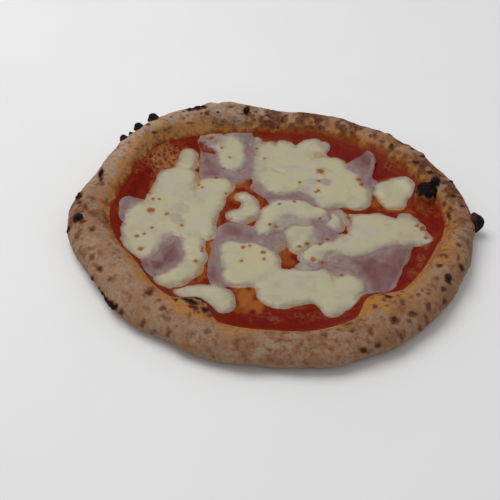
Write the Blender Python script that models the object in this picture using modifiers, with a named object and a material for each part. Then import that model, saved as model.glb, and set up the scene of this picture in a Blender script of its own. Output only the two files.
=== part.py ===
"""Ham pizza with a puffed, leopard-spotted crust, modelled for Blender 4.5.

One frame for everything: +Z up, origin at the middle of the underside's box,
-Y towards the side with the two crust bubbles. Every size below is in
millimetres and every angle in degrees; MM turns millimetres into metres.
From the bottom up, the pieces are the dough with its rim, a thin layer of
tomato sauce, slices of cooked ham and pools of melted mozzarella.
"""
import math

import bmesh
import bpy
import numpy as np
from mathutils.geometry import delaunay_2d_cdt

MM = 0.001
CLEARANCE = 0.35

# Dough: a floor inside a puffed rim, a tube of elliptic section with a high crest
RIM_CENTRE = (-4.0, 0.0)
TUBE_WIDTH = 31.0
TUBE_HEIGHT = 10.0
PLAIN_CREST = 24.0
FLOOR_HEIGHT = 3.5
FLOOR_FLAT = 108.0
WALL_FOOT = 12.0
SLOPE_POWER = 2.2
OUTER_RADIUS = 160.0
PLAIN_FOOT = OUTER_RADIUS - TUBE_WIDTH
INNER_ANGLE = 180.0 - math.degrees(math.asin((WALL_FOOT - TUBE_HEIGHT) / (PLAIN_CREST - TUBE_HEIGHT)))
OUTER_ANGLE = -90.0
TUBE_STEPS = 13
SLOPE_STEPS = 5
SEGMENTS = 128

# The hand-stretched rim, every 15 degrees of azimuth from +X towards +Y
OUTER_RADII = (
    160.0, 158.0, 157.5, 157.5, 155.5, 152.5, 153.0, 160.0, 162.0, 162.0, 154.0, 152.0,
    159.5, 156.0, 150.0, 152.0, 150.8, 153.5, 152.5, 156.0, 157.0, 155.8, 155.0, 156.0,
)
CREST_HEIGHTS = (
    24.0, 24.0, 24.0, 24.0, 23.0, 24.0, 23.0, 28.0, 27.5, 26.0, 24.0, 23.0,
    23.0, 23.5, 23.5, 23.0, 22.0, 20.0, 19.0, 20.0, 22.0, 23.0, 23.5, 24.0,
)
RIM_WIDTHS = (
    22.0, 23.0, 25.5, 28.5, 27.0, 28.0, 30.0, 34.0, 30.0, 24.0, 22.0, 25.0,
    31.0, 33.0, 34.0, 33.0, 31.0, 28.5, 27.0, 28.0, 31.0, 31.0, 28.5, 26.0,
)
# Bubbles of the inner wall: azimuth, half width along the rim, push inwards
INNER_BUBBLES = ((-51.0, 5.8, 11.5), (-117.0, 5.2, 12.0))
# Waves that make the rim lumpy: count round the rim, turn across it, height
RIM_WAVES = ((13, -2.1, 0.3), (19, 3.2, 0.35), (26, -4.3, 0.25))
# Blisters in the crust: azimuth, angle round the tube, radius, height
BLISTERS = (
    (21.0, 150.0, 9.0, 3.0),
    (25.5, 128.0, 5.0, 2.0),
    (-33.0, 95.0, 6.0, 1.0),
    (112.0, 70.0, 9.0, 2.0),
    (-140.0, -30.0, 9.0, 1.2),
)
# Burnt knobs of dough on the outer wall: azimuth, angle round the tube, radius
KNOBS = (
    (1.5, 6.0, 5.2),
    (131.5, 46.0, 4.2),
    (138.5, 46.0, 4.2),
    (146.0, 46.0, 3.6),
    (188.0, 58.0, 4.4),
)
KNOB_RISE = 0.5

# Tomato sauce: a thin turned sheet that climbs the foot of the rim
SAUCE_THICKNESS = 1.2
SAUCE_EDGE = 0.985
TOPPING_EDGE = 0.97

# Ham: thin wavy slices, each a polygon on the floor plan with its corners cut round
HAM_THICKNESS = 1.1
HAM_SPACING = 7.5
HAM_EDGE_STEP = 4.5
CORNER_CUTS = 2
HAM_SLICES = (
    ((-122, -4), (-126, 10), (-124, 21), (-117, 28), (-107, 28), (-98, 20), (-98, 0), (-110, -6)),
    (
        (-67, 57), (-40, 53), (-28, 52), (-20, 62), (-18, 114), (-22, 124), (-32, 122),
        (-44, 116), (-52, 121), (-62, 120), (-70, 110), (-66, 98), (-66, 80),
    ),
    (
        (-23, 52), (-10, 61), (20, 62), (46, 66), (53, 56), (48, 30), (51, 18), (40, 14),
        (20, 14), (-4, 25), (-8, 35), (-18, 42),
    ),
    (
        (58, 84), (61, 91), (74, 92), (77, 97), (83, 95), (87, 86), (84, 77), (81, 70),
        (87, 64), (84, 50), (81, 41), (75, 46), (68, 60), (59, 72),
    ),
    (
        (-44, 1), (-20, 0), (-2, -7), (9, -6), (9, -28), (0, -36), (-10, -50), (-28, -70),
        (-44, -77), (-48, -70), (-48, -32), (-46, -14),
    ),
    ((28, 9), (38, 10), (43, 3), (50, -6), (50, -15), (44, -20), (34, -20), (26, -12), (24, 0)),
    (
        (22, -26), (36, -28), (60, -25), (96, -13), (108, -15), (105, -28), (98, -45),
        (91, -62), (85, -76), (66, -82), (48, -72), (30, -58), (18, -42),
    ),
    (
        (-103, -49), (-98, -62), (-91, -72), (-74, -70), (-63, -48), (-64, -22), (-76, -12),
        (-92, -14), (-98, -34),
    ),
)
# Folds of the slices: slice, start and end of the fold's ridge, half width, lift
HAM_FOLDS = (
    (0, (-120, 20), (-108, 14), 5.0, 1.0),
    (1, (-60, 78), (-46, 62), 6.0, 0.8),
    (3, (81, 96), (85, 80), 3.0, 4.5),
    (6, (44, -40), (66, -48), 3.5, 1.5),
    (6, (100, -32), (84, -66), 7.0, 0.8),
    (7, (-94, -58), (-78, -26), 4.0, 1.8),
    (7, (-80, -60), (-70, -34), 4.0, 1.4),
)

# Mozzarella: melted pools, each the smooth union of round lobes (x, y, radius)
CHEESE_EDGE = 0.7
CHEESE_HEIGHT = 4.2
CHEESE_SHOULDER = 13.0
LOBE_BLEND = 2.0
CHEESE_SPACING = 8.0
HAM_REACH = 6.0
FOLD_SPREAD = 4.0
CHEESE_STEP = 4.5
SEAM = 1.2
CHEESE_POOLS = (
    (
        (-76, 90, 8.5), (-76, 78, 9), (-84, 58, 16.5), (-86, 44, 17), (-89, 28, 17.5),
        (-91, 12, 16), (-103, 4, 18), (-104, -12, 17.5), (-104, -31, 15), (-101, -40, 10.5),
        (-84, -6, 13), (-73, 62, 7), (-52, 45, 14), (-56, 51, 8), (-42, 50, 8.5), (-58, 28, 17),
        (-60, 8, 15), (-57, -8, 11.5), (-52, -15, 6), (-67, -12, 10), (-64, -28, 9.5),
        (-60, -42, 8.5), (-63, -56, 9), (-72, -67, 10), (-81, -71, 8.5),
    ),
    ((-38, 105, 9.5), (-38, 92, 11), (-37, 79, 10.5), (-55, 112, 11.5), (-56, 104, 8)),
    (
        (-8, 104, 11), (8, 103, 12), (28, 102, 12.5), (34, 104, 10.5), (-7, 88, 11.5),
        (10, 86, 16), (32, 84, 18), (49, 86, 11.5), (-11, 75, 8), (-6, 64, 13), (6, 54, 16),
        (22, 64, 17), (45, 69, 20), (63, 66, 11), (30, 47, 8), (36, 38, 7), (42, 30, 8.5),
        (63, 46, 16.5), (50, 38, 13), (66, 35, 13),
    ),
    ((92, 53, 11), (106, 53, 11), (99, 44, 13), (97, 34, 9)),
    ((-26, 35.5, 6.5), (-21, 29, 6), (-20, 19, 6.5), (-24, 12, 8.5), (-31, 10, 8.5)),
    ((-3, 12, 9.5), (6, 18, 11.5), (18, 20, 12.5), (29, 18, 9.5), (-6, 0, 8.5), (-10, -8, 8)),
    ((14, -7, 8.5), (24, -7, 9), (17, -20, 8.5), (16, -25, 6)),
    ((47, 5, 7), (49, 0, 5.5), (46, 14, 5.5)),
    (
        (26, -30, 8), (24, -39, 6), (33, -40, 6.5), (42, -27, 8), (56, -23, 13), (64, -24, 12),
        (70, 5, 13), (80, 4, 13), (76, -14, 15), (90, -2, 16), (104, -6, 13.5), (110, 4, 10),
        (112, 12, 6), (114, -11, 8.5),
    ),
    (
        (-34, -33, 10.5), (-17, -35, 11), (-9, -44, 12.5), (-27, -47, 15), (-10, -60, 14),
        (-27, -62, 12), (14, -64, 12.5), (29, -60, 13), (34, -74, 13), (14, -78, 13),
        (-2, -80, 11), (3, -85, 9.5), (54, -71, 13.5), (48, -82, 11), (40, -90, 8), (40, -97, 4.5),
    ),
    ((-66, -82, 7), (-52, -84, 9.5), (-42, -85, 10.5), (-38, -92, 8.5)),
)

# Colours, metallic value 0 for all: linear red, green, blue and roughness
DOUGH_LOOK = ((0.52, 0.34, 0.22), 0.85)
SAUCE_LOOK = ((0.30, 0.03, 0.012), 0.35)
HAM_LOOK = ((0.42, 0.20, 0.20), 0.45)
CHEESE_LOOK = ((0.72, 0.66, 0.44), 0.38)


def smoothstep(low, high, value):
    """0 below low, 1 above high and 3 t^2 - 2 t^3 between."""
    t = np.clip((value - low) / (high - low), 0.0, 1.0)
    return t * t * (3.0 - 2.0 * t)


def bell(distance, half_width):
    """A round hump: 1 in the middle, 0 from twice the half width outwards."""
    t = np.clip(np.abs(distance) / (2.0 * half_width), 0.0, 1.0)
    return (1.0 - t * t) ** 2


def turned_by(azimuth, other):
    """Signed difference of two azimuths, from -180 to 180."""
    return (azimuth - other + 180.0) % 360.0 - 180.0


# Dough

def around(values, azimuth):
    """Smooth closed curve through evenly spaced values, azimuth in radians."""
    values = np.array(values)
    place = (azimuth / math.tau * len(values)) % len(values)
    first = np.floor(place).astype(int)
    t = place - first
    before, here, after, beyond = (values[(first + shift) % len(values)] for shift in (-1, 0, 1, 2))
    bend = (2 * before - 5 * here + 4 * after - beyond) * t + (3 * here - before - 3 * after + beyond) * t * t
    return here + 0.5 * t * (after - before + bend)


def outer_radius(azimuth):
    """Distance from the rim's centre to its outer wall, azimuth in radians."""
    return around(OUTER_RADII, azimuth)


def bubble_push(azimuth):
    """How far the bubbles push the inner wall inwards, azimuth in radians."""
    push = np.zeros_like(azimuth)
    for at, half_width, inward in INNER_BUBBLES:
        push += inward * bell(turned_by(np.degrees(azimuth), at), half_width)
    return push


def rim_width(azimuth):
    """Width of the rim between its two walls, azimuth in radians."""
    return around(RIM_WIDTHS, azimuth)


def foot_radius(azimuth):
    """Distance from the rim's centre to the foot of its inner wall, azimuth in radians."""
    return outer_radius(azimuth) - rim_width(azimuth) - bubble_push(azimuth)


def slope_height(plain_radius):
    """Height of the dough inside the rim: flat, then rising to the wall's foot."""
    climb = np.clip((plain_radius - FLOOR_FLAT) / (PLAIN_FOOT - FLOOR_FLAT), 0.0, 1.0)
    return FLOOR_HEIGHT + (WALL_FOOT - FLOOR_HEIGHT) * climb ** SLOPE_POWER


def plain_section(angle):
    """Radius and height of the plain rim at an angle round its tube."""
    half_height = np.where(np.sin(angle) > 0.0, PLAIN_CREST - TUBE_HEIGHT, TUBE_HEIGHT)
    radius = OUTER_RADIUS - 0.5 * TUBE_WIDTH * (1.0 - np.cos(angle))
    return radius, TUBE_HEIGHT + half_height * np.sin(angle)


def slope_points():
    """Profile of the dough's upper side from its middle to the foot of the wall."""
    radii = [0.0, *np.linspace(FLOOR_FLAT, PLAIN_FOOT, SLOPE_STEPS)]
    return [(radius, float(slope_height(radius))) for radius in radii]


def section_points():
    """The turned profile: floor, slope, over the crest, down to the underside."""
    angles = np.radians(np.linspace(INNER_ANGLE, OUTER_ANGLE, TUBE_STEPS))
    radii, heights = plain_section(angles)
    return slope_points() + list(zip(radii[1:], heights[1:])) + [(0.0, 0.0)]


def rim_waves(azimuth, angle):
    """Height of the small lumps at an azimuth and tube angle, both in radians."""
    total = 0.0
    for number, (count, turn, height) in enumerate(RIM_WAVES):
        total = total + height * np.sin(count * azimuth + turn * angle + number)
    return total


def uneven(points):
    """Move points (n, 3) of the plain turned dough onto the uneven one."""
    radius = np.hypot(points[:, 0], points[:, 1])
    azimuth = np.arctan2(points[:, 1], points[:, 0])
    height = points[:, 2].copy()
    across = np.clip((radius - PLAIN_FOOT) / (OUTER_RADIUS - PLAIN_FOOT), 0.0, 1.0)
    on_rim = outer_radius(azimuth) - rim_width(azimuth) * (1.0 - across)
    on_rim -= bubble_push(azimuth) * (1.0 - across) ** 3
    moved = np.where(radius > PLAIN_FOOT, on_rim, radius * foot_radius(azimuth) / PLAIN_FOOT)
    angle = np.arctan2(height - TUBE_HEIGHT, radius - OUTER_RADIUS + 0.5 * TUBE_WIDTH)
    lumps = rim_waves(azimuth, angle) * smoothstep(0.5, 6.0, height) * smoothstep(0.0, 0.3, across)
    above = np.clip((height - TUBE_HEIGHT) / (PLAIN_CREST - TUBE_HEIGHT), 0.0, 1.0) * (radius > PLAIN_FOOT)
    height += above * (around(CREST_HEIGHTS, azimuth) - PLAIN_CREST)
    height += lumps * np.sin(angle) * above
    moved = moved + lumps * np.cos(angle)
    x = RIM_CENTRE[0] + moved * np.cos(azimuth)
    y = RIM_CENTRE[1] + moved * np.sin(azimuth)
    return np.column_stack([x, y, height])


def rim_point(azimuth, angle):
    """A point of the uneven rim, and the way out of the tube there."""
    azimuth = math.radians(azimuth)
    angle = math.radians(angle)
    radius, height = plain_section(angle)
    plain = np.array([[radius * math.cos(azimuth), radius * math.sin(azimuth), height]])
    outward = (math.cos(angle) * math.cos(azimuth), math.cos(angle) * math.sin(azimuth), math.sin(angle))
    return uneven(plain)[0], np.array(outward)


def turned_mesh(name, profile, collection):
    """Mesh of a profile (radius, height) turned about the vertical, in metres."""
    points = [(radius * MM, 0.0, height * MM) for radius, height in profile]
    line = bpy.data.meshes.new(name)
    line.from_pydata(points, [(i, i + 1) for i in range(len(points) - 1)], [])
    turned = bpy.data.objects.new(name, line)
    collection.objects.link(turned)
    screw = turned.modifiers.new("turn", "SCREW")
    screw.axis = "Z"
    screw.angle = math.tau
    screw.steps = SEGMENTS
    screw.render_steps = SEGMENTS
    screw.use_merge_vertices = True
    screw.merge_threshold = 0.00001
    mesh = applied_mesh(turned)
    bpy.data.objects.remove(turned)
    return mesh


def make_dough(collection):
    """Turn the profile, make it uneven, raise the blisters and fuse on the knobs."""
    mesh = turned_mesh("dough", section_points(), collection)
    plain = get_points(mesh)
    on_wall = np.hypot(plain[:, 0], plain[:, 1]) > PLAIN_FOOT + CLEARANCE
    points = uneven(plain)
    for azimuth, angle, radius, height in BLISTERS:
        centre, outward = rim_point(azimuth, angle)
        distance = np.linalg.norm(points - centre, axis=1)
        points += outward * (on_wall * height * bell(distance, 0.5 * radius))[:, None]
    set_points(mesh, points)
    dough = bpy.data.objects.new("dough", mesh)
    collection.objects.link(dough)
    fuse_knobs(dough)
    return dough


def fuse_knobs(dough):
    """Boolean union of the dough with its round burnt knobs."""
    knobs = bpy.data.collections.new("knobs")
    bpy.context.scene.collection.children.link(knobs)
    for number, (azimuth, angle, radius) in enumerate(KNOBS):
        centre, outward = rim_point(azimuth, angle)
        sphere = bmesh.new()
        bmesh.ops.create_icosphere(sphere, subdivisions=2, radius=radius * MM)
        mesh = bpy.data.meshes.new(f"knob_{number}")
        sphere.to_mesh(mesh)
        sphere.free()
        knob = bpy.data.objects.new(f"knob_{number}", mesh)
        knob.location = (centre + outward * radius * KNOB_RISE) * MM
        knobs.objects.link(knob)
    union = dough.modifiers.new("knobs", "BOOLEAN")
    union.operation = "UNION"
    union.operand_type = "COLLECTION"
    union.collection = knobs
    union.solver = "EXACT"
    fused = applied_mesh(dough)
    dough.modifiers.clear()
    dough.data = fused
    for knob in list(knobs.objects):
        bpy.data.objects.remove(knob)
    bpy.data.collections.remove(knobs)


# Flat regions: a field is negative inside the region and about the distance to its edge

def lobes_field(lobes):
    """Smooth union of round lobes, as a function of points (n, 2)."""
    def field(points):
        total = np.full(len(points), 1e-30)
        for x, y, radius in lobes:
            distance = np.hypot(points[:, 0] - x, points[:, 1] - y) - radius
            total += np.exp(np.clip(-distance / LOBE_BLEND, -60.0, 60.0))
        return -LOBE_BLEND * np.log(total)
    return field


def cut_corners(corners):
    """The polygon with each corner cut off, a few times over, until it looks round."""
    corners = np.array(corners, float)
    for _ in range(CORNER_CUTS):
        after = np.roll(corners, -1, axis=0)
        pairs = np.stack([0.75 * corners + 0.25 * after, 0.25 * corners + 0.75 * after], axis=1)
        corners = pairs.reshape(-1, 2)
    return corners


def polygon_field(corners):
    """Signed distance to a round-cornered polygon, as a function of points (n, 2)."""
    corners = cut_corners(corners)
    sides = np.roll(corners, -1, axis=0) - corners

    def field(points):
        inside = np.zeros(len(points), bool)
        nearest = np.full(len(points), 1e9)
        for start, side in zip(corners, sides):
            offset = points - start
            along = np.clip(offset @ side / (side @ side), 0.0, 1.0)
            gap = offset - along[:, None] * side
            nearest = np.minimum(nearest, np.hypot(gap[:, 0], gap[:, 1]))
            crosses = (offset[:, 1] < 0.0) != (offset[:, 1] < side[1])
            turn = offset[:, 0] * side[1] - offset[:, 1] * side[0]
            inside ^= crosses & ((turn < 0.0) == (side[1] > 0.0))
        return np.where(inside, -nearest, nearest)
    return field


def plain_radius(points):
    """Radius on the plain turned dough of points (n, 2) inside the rim."""
    offset = points - RIM_CENTRE
    azimuth = np.arctan2(offset[:, 1], offset[:, 0])
    return np.hypot(offset[:, 0], offset[:, 1]) * PLAIN_FOOT / foot_radius(azimuth)


def rim_field(points):
    """Distance past the line where toppings end, just short of the sauce's edge."""
    return plain_radius(points) - TOPPING_EDGE * PLAIN_FOOT


def trimmed(field, neighbours):
    """The field kept inside the rim and a seam away from its neighbours."""
    def kept(points):
        distance = np.maximum(field(points), rim_field(points))
        for neighbour in neighbours:
            distance = np.maximum(distance, SEAM - neighbour(points))
        return distance
    return kept


def trace_edge(field, inside, step):
    """Walk round the region's edge from the left of a point inside it."""
    def on_edge(point):
        for _ in range(6):
            value = float(field(point[None])[0])
            point = point - value * slope(point)
        return point

    def slope(point):
        small = 0.05
        around = point + small * np.array([[1, 0], [-1, 0], [0, 1], [0, -1]])
        east, west, north, south = field(around)
        gradient = np.array([east - west, north - south]) / (2.0 * small)
        return gradient / max(float(gradient @ gradient), 0.05)

    point = np.array(inside, float)
    while float(field(point[None])[0]) < 0.0:
        point = point - (0.5, 0.0)
    edge = [on_edge(point)]
    for _ in range(2000):
        out = slope(edge[-1])
        along = np.array([-out[1], out[0]]) / np.hypot(*out)
        edge.append(on_edge(edge[-1] + along * step))
        if len(edge) > 4 and np.hypot(*(edge[-1] - edge[0])) < 0.8 * step:
            edge.pop()
            break
    return np.array(edge)


def lattice(field, edge, spacing):
    """Points on a triangular lattice inside the region, clear of its edge."""
    low = edge.min(axis=0)
    high = edge.max(axis=0)
    rows = []
    row_height = spacing * math.sqrt(0.75)
    for number, y in enumerate(np.arange(low[1], high[1], row_height)):
        shift = 0.5 * spacing * (number % 2)
        x = np.arange(low[0] + shift, high[0], spacing)
        rows.append(np.column_stack([x, np.full_like(x, y)]))
    points = np.concatenate(rows)
    gaps = np.hypot(*(points[:, None, :] - edge[None]).transpose(2, 0, 1)).min(axis=1)
    return points[(field(points) < 0.0) & (gaps > 0.55 * spacing)]


def make_sheet(name, edge, inner, bottom, top, collection):
    """A closed sheet over a traced region: both faces are split into triangles alike."""
    flat = np.concatenate([edge, inner])
    outline = list(range(len(edge)))
    points, _, faces = delaunay_2d_cdt(flat.tolist(), [], [outline], 1, 1e-5)[:3]
    flat = np.array([tuple(point) for point in points])
    sheet = bmesh.new()
    for (x, y), height in zip(flat, bottom(flat)):
        sheet.verts.new((x * MM, y * MM, height * MM))
    sheet.verts.ensure_lookup_table()
    for face in faces:
        sheet.faces.new([sheet.verts[i] for i in face])
    bmesh.ops.delete(sheet, geom=[v for v in sheet.verts if not v.link_faces], context="VERTS")
    raised = bmesh.ops.extrude_face_region(sheet, geom=sheet.faces[:])
    lifted = [item for item in raised["geom"] if isinstance(item, bmesh.types.BMVert)]
    places = np.array([(v.co.x, v.co.y) for v in lifted]) / MM
    for vertex, height in zip(lifted, top(places)):
        vertex.co.z = height * MM
    bmesh.ops.triangulate(sheet, faces=sheet.faces[:])
    bmesh.ops.recalc_face_normals(sheet, faces=sheet.faces[:])
    mesh = bpy.data.meshes.new(name)
    sheet.to_mesh(mesh)
    sheet.free()
    piece = bpy.data.objects.new(name, mesh)
    collection.objects.link(piece)
    return piece


# Layers, each as heights over points (n, 2)

def sauce_top(points):
    """The sauce's upper face."""
    return slope_height(plain_radius(points)) + CLEARANCE + SAUCE_THICKNESS


def make_sauce(collection):
    """A turned sheet whose underside follows the dough at a small clearance."""
    profile = slope_points()
    edge = SAUCE_EDGE * PLAIN_FOOT
    profile[-1] = (edge, float(slope_height(edge)))
    below = [(radius, height + CLEARANCE) for radius, height in profile]
    above = [(radius, height + SAUCE_THICKNESS) for radius, height in below]
    mesh = turned_mesh("tomato_sauce", above + below[::-1], collection)
    set_points(mesh, uneven(get_points(mesh)))
    sauce = bpy.data.objects.new("tomato_sauce", mesh)
    collection.objects.link(sauce)
    return sauce


def fold_height(points, number, spread=0.0):
    """How far the folds lift a ham slice off the sauce, with the folds made wider by spread."""
    lift = np.zeros(len(points))
    for slice_number, start, end, half_width, height in HAM_FOLDS:
        if slice_number != number:
            continue
        side = np.subtract(end, start)
        along = np.clip((points - start) @ side / (side @ side), 0.0, 1.0)
        gap = points - start - along[:, None] * side
        lift = np.maximum(lift, height * bell(np.hypot(gap[:, 0], gap[:, 1]), half_width + spread))
    return lift


def ham_bottom(points, number):
    """The underside of a ham slice."""
    return sauce_top(points) + CLEARANCE + fold_height(points, number)


def make_ham(collection):
    """The ham slices, thin and of one thickness."""
    pieces = []
    for number, corners in enumerate(HAM_SLICES):
        field = trimmed(polygon_field(corners), ())
        edge = trace_edge(field, np.mean(corners, axis=0), HAM_EDGE_STEP)
        inner = lattice(field, edge, HAM_SPACING)

        def bottom(points, number=number):
            return ham_bottom(points, number)

        def top(points, number=number):
            return ham_bottom(points, number) + HAM_THICKNESS

        pieces.append(make_sheet(f"ham_{number + 1}", edge, inner, bottom, top, collection))
    return pieces


def cheese_bottom(points):
    """The lowest the cheese can lie: on the sauce, or over the ham and its folds."""
    rest = sauce_top(points) + CLEARANCE
    height = rest.copy()
    for number, corners in enumerate(HAM_SLICES):
        cover = smoothstep(HAM_REACH + CHEESE_SPACING, HAM_REACH, polygon_field(corners)(points))
        over = HAM_THICKNESS + CLEARANCE + fold_height(points, number, FOLD_SPREAD)
        height = np.maximum(height, rest + cover * over)
    return height


def make_cheese(collection):
    """The melted pools: domes with a thin edge, parted by narrow seams."""
    pieces = []
    made = []
    for number, lobes in enumerate(CHEESE_POOLS):
        field = trimmed(lobes_field(lobes), tuple(made))
        made.append(lobes_field(lobes))
        edge = trace_edge(field, lobes[0][:2], CHEESE_STEP)
        inner = lattice(field, edge, CHEESE_SPACING)

        def top(points, field=field):
            depth = smoothstep(0.0, CHEESE_SHOULDER, -field(points))
            dome = CHEESE_EDGE + (CHEESE_HEIGHT - CHEESE_EDGE) * np.sqrt(depth)
            return cheese_bottom(points) + dome

        name = f"mozzarella_{number + 1}"
        pieces.append(make_sheet(name, edge, inner, cheese_bottom, top, collection))
    return pieces


# Shared helpers

def applied_mesh(piece):
    """A new mesh of the object as its modifiers shape it."""
    depsgraph = bpy.context.evaluated_depsgraph_get()
    depsgraph.update()
    return bpy.data.meshes.new_from_object(piece.evaluated_get(depsgraph), depsgraph=depsgraph)


def get_points(mesh):
    """Vertices in millimetres."""
    values = np.empty(len(mesh.vertices) * 3)
    mesh.vertices.foreach_get("co", values)
    return values.reshape(-1, 3) / MM


def set_points(mesh, points):
    """Move the vertices to points in millimetres."""
    mesh.vertices.foreach_set("co", (points * MM).ravel())
    mesh.update()


def finish(pieces, name, look):
    """Give the pieces one smooth-shaded material each."""
    colour, roughness = look
    for piece in pieces:
        material = bpy.data.materials.new(f"{name}_{piece.name}")
        material.use_nodes = True
        shader = material.node_tree.nodes["Principled BSDF"]
        shader.inputs["Base Color"].default_value = (*colour, 1.0)
        shader.inputs["Roughness"].default_value = roughness
        shader.inputs["Metallic"].default_value = 0.0
        piece.data.materials.clear()
        piece.data.materials.append(material)
        piece.data.shade_smooth()
        piece.data.set_sharp_from_angle(angle=math.radians(50.0))


def main():
    for piece in list(bpy.data.objects):
        bpy.data.objects.remove(piece)
    pizza = bpy.data.collections.new("ham_pizza")
    bpy.context.scene.collection.children.link(pizza)
    finish([make_dough(pizza)], "crust", DOUGH_LOOK)
    finish([make_sauce(pizza)], "sauce", SAUCE_LOOK)
    finish(make_ham(pizza), "ham", HAM_LOOK)
    finish(make_cheese(pizza), "cheese", CHEESE_LOOK)


main()
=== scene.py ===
"""Looks of the ham pizza for Blender 4.5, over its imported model.

The crust, the burnt knobs, the sauce, the ham and the mozzarella are surfaces
worked out with numpy over the same plan as the solids that they replace.
Sizes are in millimetres and angles in degrees unless a name says otherwise;
MM turns millimetres into metres. +Z is up and -Y is the near side.
"""
import math

import bpy
import numpy as np
from bpy.props import FloatProperty, FloatVectorProperty, PointerProperty
from mathutils import Matrix


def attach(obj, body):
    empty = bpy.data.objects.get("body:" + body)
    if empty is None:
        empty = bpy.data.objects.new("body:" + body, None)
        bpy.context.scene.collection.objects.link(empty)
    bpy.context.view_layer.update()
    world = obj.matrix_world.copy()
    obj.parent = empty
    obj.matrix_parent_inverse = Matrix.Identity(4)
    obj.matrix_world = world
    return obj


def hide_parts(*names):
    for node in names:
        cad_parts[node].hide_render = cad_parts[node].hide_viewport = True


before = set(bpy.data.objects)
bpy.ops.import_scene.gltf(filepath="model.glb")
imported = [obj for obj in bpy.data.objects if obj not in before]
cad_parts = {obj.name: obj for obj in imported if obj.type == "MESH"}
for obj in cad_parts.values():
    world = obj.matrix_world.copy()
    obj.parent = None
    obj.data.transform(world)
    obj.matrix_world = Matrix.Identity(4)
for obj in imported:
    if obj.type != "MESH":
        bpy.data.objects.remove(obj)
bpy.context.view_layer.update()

bl_info = {
    "name": "Ham pizza",
    "version": (1, 0, 0),
    "blender": (4, 5, 0),
    "location": "3D View > Sidebar > Ham pizza",
    "description": "Builds the looks of a round ham pizza over its packed model",
    "category": "Add Mesh",
}

MM = 0.001

# Camera: the point looked at, distance, height above the level and roll of a 36 mm wide view
LOOK_AT = (-19.762, -25.548, 0.0)
EYE_DISTANCE = 698.129
EYE_ELEVATION = 40.3537
EYE_ROLL = 1.98174
LENS = 64.8
SENSOR = 36.0
# Nearest and farthest distance in view, in metres
CLIP_START = 0.01
CLIP_END = 20.0
# Marks are placed by the point where the line of sight through them meets this level
MARK_LEVEL = 8.0

# Dough: a floor inside a puffed rim, a tube of elliptic section with a high crest
RIM_CENTRE = (-4.0, 0.0)
TUBE_WIDTH = 31.0
TUBE_HEIGHT = 10.0
PLAIN_CREST = 24.0
FLOOR_HEIGHT = 3.5
FLOOR_FLAT = 108.0
WALL_FOOT = 12.0
SLOPE_POWER = 2.2
OUTER_RADIUS = 160.0
PLAIN_FOOT = OUTER_RADIUS - TUBE_WIDTH
OUTER_ANGLE = -90.0
SEGMENTS = 960
TUBE_ROWS = 66
FILLET_START = 117.0
FILLET_END = 142.0
FILLET_ROWS = 14
SLOPE_ROWS = 6
FLOOR_ROWS = 5
UNDER_ROWS = 12
POLE_RADIUS = 8.0

# The hand-stretched rim, every 15 degrees of azimuth from +X towards +Y
OUTER_RADII = (
    160.0, 158.0, 157.5, 157.5, 155.5, 152.5, 153.0, 160.5, 163.0, 163.0, 157.0, 153.5,
    159.5, 156.0, 150.0, 152.0, 150.8, 153.5, 152.5, 156.0, 157.0, 155.8, 155.0, 156.0,
)
CREST_HEIGHTS = (
    24.0, 24.0, 24.0, 24.0, 23.0, 24.0, 23.5, 29.5, 29.0, 27.0, 25.0, 23.5,
    23.0, 23.5, 23.5, 23.0, 22.0, 20.0, 19.0, 20.0, 22.0, 23.0, 23.5, 24.0,
)
RIM_WIDTHS = (
    22.0, 23.0, 25.5, 28.5, 27.0, 28.0, 30.0, 34.5, 31.0, 25.0, 25.0, 26.5,
    31.0, 33.0, 34.0, 33.0, 31.0, 28.5, 27.0, 28.0, 31.0, 31.0, 28.5, 26.0,
)
# Width of the oily band above the sauce, of the sauce's smear, the paler floury colour (partly dusted flour,
# partly painted light that brightens the far and far-left rim) and browning, every 15 degrees
STAIN_WIDTHS = (
    23.0, 20.0, 26.0, 21.0, 23.0, 24.0, 22.0, 15.0, 26.0, 31.0, 29.0, 21.0,
    13.0, 14.0, 18.0, 23.0, 31.0, 23.0, 12.0, 11.0, 23.0, 32.0, 21.0, 21.0,
)
SMEAR_WIDTHS = (
    4.0, 9.0, 15.0, 16.0, 13.0, 10.0, 9.0, 8.0, 7.0, 7.0, 8.0, 8.0,
    7.0, 5.5, 3.0, 1.0, 0.0, 0.5, 1.0, 1.0, 0.0, -1.0, 0.0, 1.0,
)
# Paler floury colour by azimuth: partly dusted flour, partly painted light on the far and far-left rim
DUST_AND_LIGHT = (
    0.0, 0.0, 0.0, 0.0, 0.05, 0.10, 0.50, 0.65, 0.80, 0.80, 0.75, 0.65,
    0.05, 0.10, 0.25, 0.15, 0.10, 0.05, 0.0, 0.0, 0.0, 0.0, 0.0, 0.0,
)
BROWNING = (
    0.34, 0.52, 0.44, 0.42, 0.56, 0.76, 0.54, 0.24, 0.20, 0.20, 0.12, 0.12,
    0.36, 0.32, 0.16, 0.12, 0.14, 0.18, 0.24, 0.27, 0.28, 0.26, 0.22, 0.24,
)
BROWN_LIMIT = 0.66
# Bubbles of the inner wall: azimuth, half width along the rim, push inwards
INNER_BUBBLES = ((-51.0, 5.8, 11.5), (-117.0, 5.2, 12.0))
# Waves that make the rim lumpy: count round the rim, turn across it, height
RIM_WAVES = ((13, -2.1, 0.3), (19, 3.2, 0.35), (26, -4.3, 0.25))
# Blisters in the crust: azimuth, angle round the tube, radius, height
BLISTERS = (
    (25.5, 128.0, 5.0, 2.2),
    (-33.0, 95.0, 6.0, 1.0),
    (112.0, 70.0, 9.0, 2.0),
    (-140.0, -30.0, 9.0, 1.2),
    (-21.0, 108.0, 6.0, 0.9),
    (-60.0, 60.0, 9.0, 1.0),
    (-98.0, 70.0, 10.0, 0.8),
    (-158.0, 75.0, 9.0, 0.9),
    (172.0, 80.0, 8.0, 0.8),
    (68.0, 90.0, 9.0, 1.0),
    (47.0, 62.0, 5.0, 1.2),
    (39.0, 55.0, 4.0, 1.1),
    (33.0, 50.0, 5.0, 1.0),
)
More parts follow.
